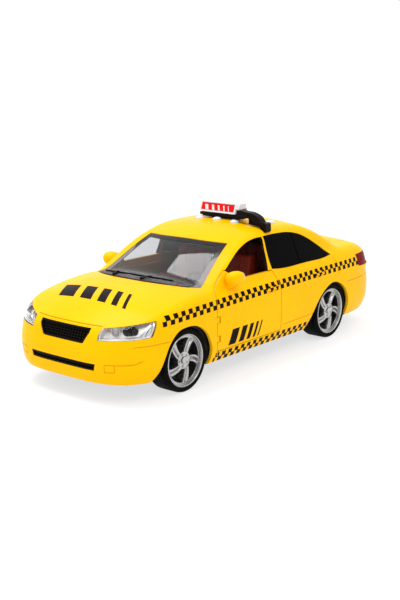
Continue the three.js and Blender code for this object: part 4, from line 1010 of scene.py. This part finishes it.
def wheel_rim():
    n = 300
    rs = np.concatenate([[0.35], np.linspace(0.8, 2.05, 5), [2.15, 2.45, 2.55], np.linspace(2.75, 5.25, 14), np.linspace(5.4, 6.1, 5), np.linspace(6.4, 13.6, 26), [13.68, 13.76], [14.45, 14.55], [15.15, 15.24], [15.45, 15.75, 16.05, 16.25]])
    a = np.arange(n) * 2 * math.pi / n
    R, A = np.meshgrid(rs, a)
    H = wheel_face(R, A)
    back = [(16.25, -14.0), (15.3, -14.0), (15.0, -11.0), (5.6, -10.6), (5.2, -12.8), (2.0, -12.8), (2.0, -8.9), (0.35, -8.9)]
    v, f = [(0, float(wheel_face(np.array(0.0), np.array(0.0))), 0), (0, -8.9, 0)], []
    m = len(rs) + len(back)
    for i in range(n):
        for j, r in enumerate(rs):
            v.append((r * math.cos(a[i]), H[i, j], r * math.sin(a[i])))
        for r, y in back:
            v.append((r * math.cos(a[i]), y, r * math.sin(a[i])))
    for i in range(n):
        k = (i + 1) % n
        f.append((0, 2 + i * m, 2 + k * m))
        f.append((1, 2 + k * m + m - 1, 2 + i * m + m - 1))
        for j in range(m - 1):
            f.append((2 + i * m + j, 2 + i * m + j + 1, 2 + k * m + j + 1, 2 + k * m + j))
    o = raw("rim", v, f)
    bm = bmesh.new()
    bm.from_mesh(o.data)
    bmesh.ops.recalc_face_normals(bm, faces=bm.faces)
    bm.to_mesh(o.data)
    bm.free()
    return o


def wheel_tyre():
    prof = [(16.32, -14.1), (17.0, -14.5), (18.2, -14.5), (18.9, -14.2), (19.3, -13.4)]
    for g in (-11.6, -8.7, -5.8, -2.9):
        prof += [(19.4, g - 0.25), (18.95, g - 0.2), (18.95, g + 0.2), (19.4, g + 0.25)]
    prof += [(19.38, -1.7), (19.2, -1.0), (18.85, -0.45), (18.4, -0.12), (18.2, -0.05), (18.12, -0.3), (17.95, -0.3), (17.88, -0.02), (17.3, 0.0), (17.22, -0.22), (17.05, -0.22), (16.98, -0.05), (16.5, -0.12), (16.32, -0.4)]
    notch = {}

    def ripple(t, r, y):
        i = int(round(t / (2 * math.pi) * 360))
        if r > 19.1 and i % 5 == 0 and not (-9.2 < y < -5.3):
            return r - 0.35, y
        return r, y

    return lathe(prof, 360, cap=False, ripple=ripple)


rim_mesh, tyre_mesh = wheel_rim(), wheel_tyre()
for end, x in (("front", 80.0), ("rear", -80.0)):
    for side_name, s in (("left", 1), ("right", -1)):
        for kind, src in (("rim", rim_mesh), ("tyre", tyre_mesh)):
            o = copy(src)
            if s < 0:
                o2 = mirror(o, "m")
                drop(o)
                o = o2
            moved(o, x, s * WHEEL_Y, AXLE_Z)
            if kind == "rim":
                # faces more than 5.2 mm behind the wheel's face get the darker metal, painted shade in the recesses
                done(o, f"{end}_{side_name}_wheel", [SILVER, WHEEL_RECESS_SHADE], f"{end}_axle_assembly", [f"{end}_{side_name}_rim"], "silver_rim", angle=32, pick=lambda c, n: np.where(np.abs(c[:, 1]) - WHEEL_Y < -5.2, 1, 0))
            else:
                done(o, f"{end}_{side_name}_tread", [TYRE], f"{end}_axle_assembly", [f"{end}_{side_name}_tyre"], "tyre_rubber", angle=32)
drop(rim_mesh, tyre_mesh)

# ----------------------------------------------------------------- buttons
for i, (x, y) in enumerate(BUTTONS):
    z = surface_z(x, y)
    f0 = -4.9 if i == 3 else -3.1
    prof = [(0, 1.75), (0.9, 1.68), (1.8, 1.45), (2.5, 1.1), (2.95, 0.65), (3.15, 0.1), (3.18, f0), (4.2, f0), (4.2, f0 - 0.8), (1.4, f0 - 0.8), (1.4, -7.6), (0, -7.6)]
    o = lathe(prof, 64)
    moved(o, x, y, z, rot=Matrix.Rotation(math.radians(90), 4, "X"))
    done(o, f"button_cap_{i + 1}", [WHITE], f"button_{i + 1}", [f"sound_button_{i + 1}"], "white_plastic", angle=40)

# ------------------------------------------------- seats, wheel and fascia
Z0 = 26.0 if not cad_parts.get("cabin_tray") else max(v.co.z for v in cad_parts["cabin_tray"].data.vertices) * 1000


def seat(y0, y1, dx):
    side_line = spline([[-16, Z0 + 0.3], [10, Z0 + 0.3], [11.2, 44.6], [8.6, 47.6], [-4, 46.2], [-8.2, 48.2], [-12.0, 59.5], [-14.2, 66.2], [-17.6, 66.2], [-18.8, 60.5], [-17.6, 47]], (0, 1), 5)
    side_line = [(x + dx, z) for x, z in side_line]
    o = prism("y", side_line, y0, y1)
    grooves = None
    n = max(2, int((y1 - y0) / 8))
    for k in range(1, n):
        y = y0 + (y1 - y0) * k / n
        g = prism("y", [(x + dx, z) for x, z in [(-30, Z0 + 16), (20, Z0 + 16), (20, 80), (-30, 80)]], y - 0.3, y + 0.3)
        inner = prism("y", grow(side_line, -0.6), y0 - 1, y1 + 1)
        g = cut(g, inner)
        grooves = g if grooves is None else join(grooves, g)
    o = cut(o, grooves)
    return bevelled(o, 0.5, 2, 50)


done(seat(7, 31, 0), "left_seat_squab", [SEAT], "car_body", ["left_front_seat"], "seat_red", angle=40)
done(seat(-31, -7, 0), "right_seat_squab", [SEAT], "car_body", ["right_front_seat"], "seat_red", angle=40)
done(seat(-34, 34, -39), "rear_seat_squab", [SEAT], "car_body", ["rear_bench"], "seat_red", angle=40)
ring, ring_faces = [], []
for i in range(64):
    t = 2 * math.pi * i / 64
    for k in range(16):
        p = 2 * math.pi * k / 16
        rr = 7.2 + 0.85 * math.cos(p)
        ring.append((0.85 * math.sin(p), rr * math.cos(t), rr * math.sin(t)))
        ring_faces.append((i * 16 + k, i * 16 + (k + 1) % 16, (i + 1) % 64 * 16 + (k + 1) % 16, (i + 1) % 64 * 16 + k))
wheel_ring = raw("ring", ring, ring_faces)
_bm = bmesh.new()
_bm.from_mesh(wheel_ring.data)
bmesh.ops.recalc_face_normals(_bm, faces=_bm.faces)
_bm.to_mesh(wheel_ring.data)
_bm.free()
steer = join(wheel_ring, box(-0.6, 0.6, -7.0, 7.0, -0.9, 0.9))
steer = join(steer, box(-0.55, 0.55, -0.8, 0.8, -7.0, 0.0))
steer = join(steer, rod("x", 2.0, -0.9, 1.0, 0, 0, 40, 1.8))
steer = join(steer, rod("x", 1.15, 0, 11, 0, 0, 32))
done(moved(bevelled(steer, 0.12, 2, 50), 29, 18, 52.6), "steering_wheel_detail", [BLACK], "car_body", ["steering_wheel"], "black_plastic", angle=40)

# ---------------------------------------------------------------- roof bar
bar = prism("x", spline([[-16.6, 89.3], [16.6, 89.3], [16.9, 90.2], [16.7, 91.3], [-16.7, 91.3], [-16.9, 90.2]], (0, 1, 3, 4), 2), -28.9, -18.7)
bar = join(bar, box(-28.2, -19.9, -15.6, 15.6, 88.25, 90.0))
for y in (-8, 8):
    bar = join(bar, rod("z", 1.6, 83, 90, -24, y, 32))
ARM = spline([[14, 89.6], [16.6, 91.8], [17.2, 94.4], [24, 94.8], [30.2, 94.1], [35.2, 91.6], [37.6, 88.6], [39.6, 88.8], [41.4, 88.2], [41.6, 83.2], [40.2, 81.9], [36.2, 85.4], [27.2, 86.9], [27.0, 90.4], [22, 89.6]], (0, 6, 8, 9, 10, 12), 5)
arm = cut(prism("x", ARM, -21.3, -15.6), hull(-0.3, 12.0))
arm = cut(arm, cut(prism("x", grow(ARM, -1.2), -16.0, -14.0), box(-30, -10, 0, 26.5, 80, 100)))
bar = join(bevelled(bar, 0.3, 2, 50), bevelled(arm, 0.35, 2, 50))
done(bar, "roof_bar_detail", [BLACK], "car_body", ["roof_bar"], "black_plastic", angle=40)

# ------------------------------------------ CAD nodes that keep their shape
RED_FRONT = printed_sign("red_panel_front", -15.5, 11.9, 93.0, 96.6)
RED_REAR = printed_sign("red_panel_rear", -13.5, 13.5, 93.0, 96.6)
KEEP = {
    "sign_housing": (WHITE, 0.35), "sign_front_panel": (RED_FRONT, 0.1), "sign_rear_panel": (RED_REAR, 0.1),
    "circuit_board": (BOARD, 0.1), "chassis": (BLACK_MATT, 0.25), "chassis_screw_1": (STEEL, 0.1), "chassis_screw_2": (STEEL, 0.1),
    "battery_cover": (BLACK, 0.2), "battery_cover_screw": (STEEL, 0.1), "button_cell_1": (STEEL, 0.3), "button_cell_2": (STEEL, 0.3),
    "button_cell_3": (STEEL, 0.3), "speaker": (STEEL, 0.2), "front_axle": (STEEL, 0.1), "rear_axle": (STEEL, 0.1), "axle_gear": (GEARS, 0.05),
    "compound_gear": (GEARS, 0.05), "compound_gear_pin": (STEEL, 0.1), "flywheel": (STEEL, 0.1), "gearbox_left": (GEARBOX, 0.4),
    "gearbox_right": (GEARBOX, 0.4), "cabin_tray": (BLACK_MATT, 0.3), "dashboard": (BLACK_MATT, 0.6), "left_door_hinge_pin": (STEEL, 0.05),
    "right_door_hinge_pin": (STEEL, 0.05),
}
for node, (mat, w) in KEEP.items():
    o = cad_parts[node]
    o.data.materials.clear()
    o.data.materials.append(mat)
    m = o.modifiers.new("edges", "BEVEL")
    m.width, m.segments, m.limit_method, m.angle_limit = w * 0.001, 2, "ANGLE", math.radians(34)
    m.use_clamp_overlap = True

# ---------------------------------------------------------- floor and lights
floor_v, floor_f = [], []
nx, ny, S = 48, 10, 3.0
for i in range(nx + 1):
    for j in range(ny + 1):
        floor_v.append(((i / nx - 0.5) * 2 * S, (j / ny - 0.5) * 2 * S, 0.0))
for i in range(nx):
    for j in range(ny):
        floor_f.append((i * (ny + 1) + j, (i + 1) * (ny + 1) + j, (i + 1) * (ny + 1) + j + 1, i * (ny + 1) + j + 1))
fm = bpy.data.meshes.new("floor")
fm.from_pydata(floor_v, [], floor_f)
floor = bpy.data.objects.new("floor", fm)
SCENE.collection.objects.link(floor)
fn = Nodes("floor_pale")
fn.put(fn.mix(fn.ramp(fn.noise(3.0, 3.0), 0.3, 0.7, 0.0, 1.0), srgb(158, 158, 158), srgb(164, 164, 164)), fn.bsdf.inputs["Base Color"])
fn.set(rough=0.6, spec=0.1, emission=(1.0, 1.0, 1.0, 1.0), emit=0.66)
fm.materials.append(fn.mat)

world = bpy.data.worlds.new("studio")
SCENE.world = world
world.use_nodes = True
world.node_tree.nodes["Background"].inputs["Color"].default_value = (1.0, 1.0, 1.0, 1.0)
world.node_tree.nodes["Background"].inputs["Strength"].default_value = 1.0


def softbox(name, at, target, sx, sy, power):
    l = bpy.data.lights.new(name, "AREA")
    l.shape, l.size, l.size_y, l.energy = "RECTANGLE", sx, sy, power
    o = bpy.data.objects.new(name, l)
    SCENE.collection.objects.link(o)
    o.location = at
    o.rotation_mode = "QUATERNION"
    o.rotation_quaternion = (Vector(target) - Vector(at)).to_track_quat("-Z", "Y")
    return o


softbox("key", (0.25, 0.95, 1.15), (0, 0, 0.03), 0.5, 0.4, 3.0)
softbox("top", (0.08, -0.48, 1.15), (0.08, -0.479, 0), 0.66, 0.66, 9.5)
softbox("front", (1.4, 0.1, 0.7), (0, 0, 0.04), 0.5, 0.5, 1.5)

for h in list(_hulls.values()):
    drop(h)
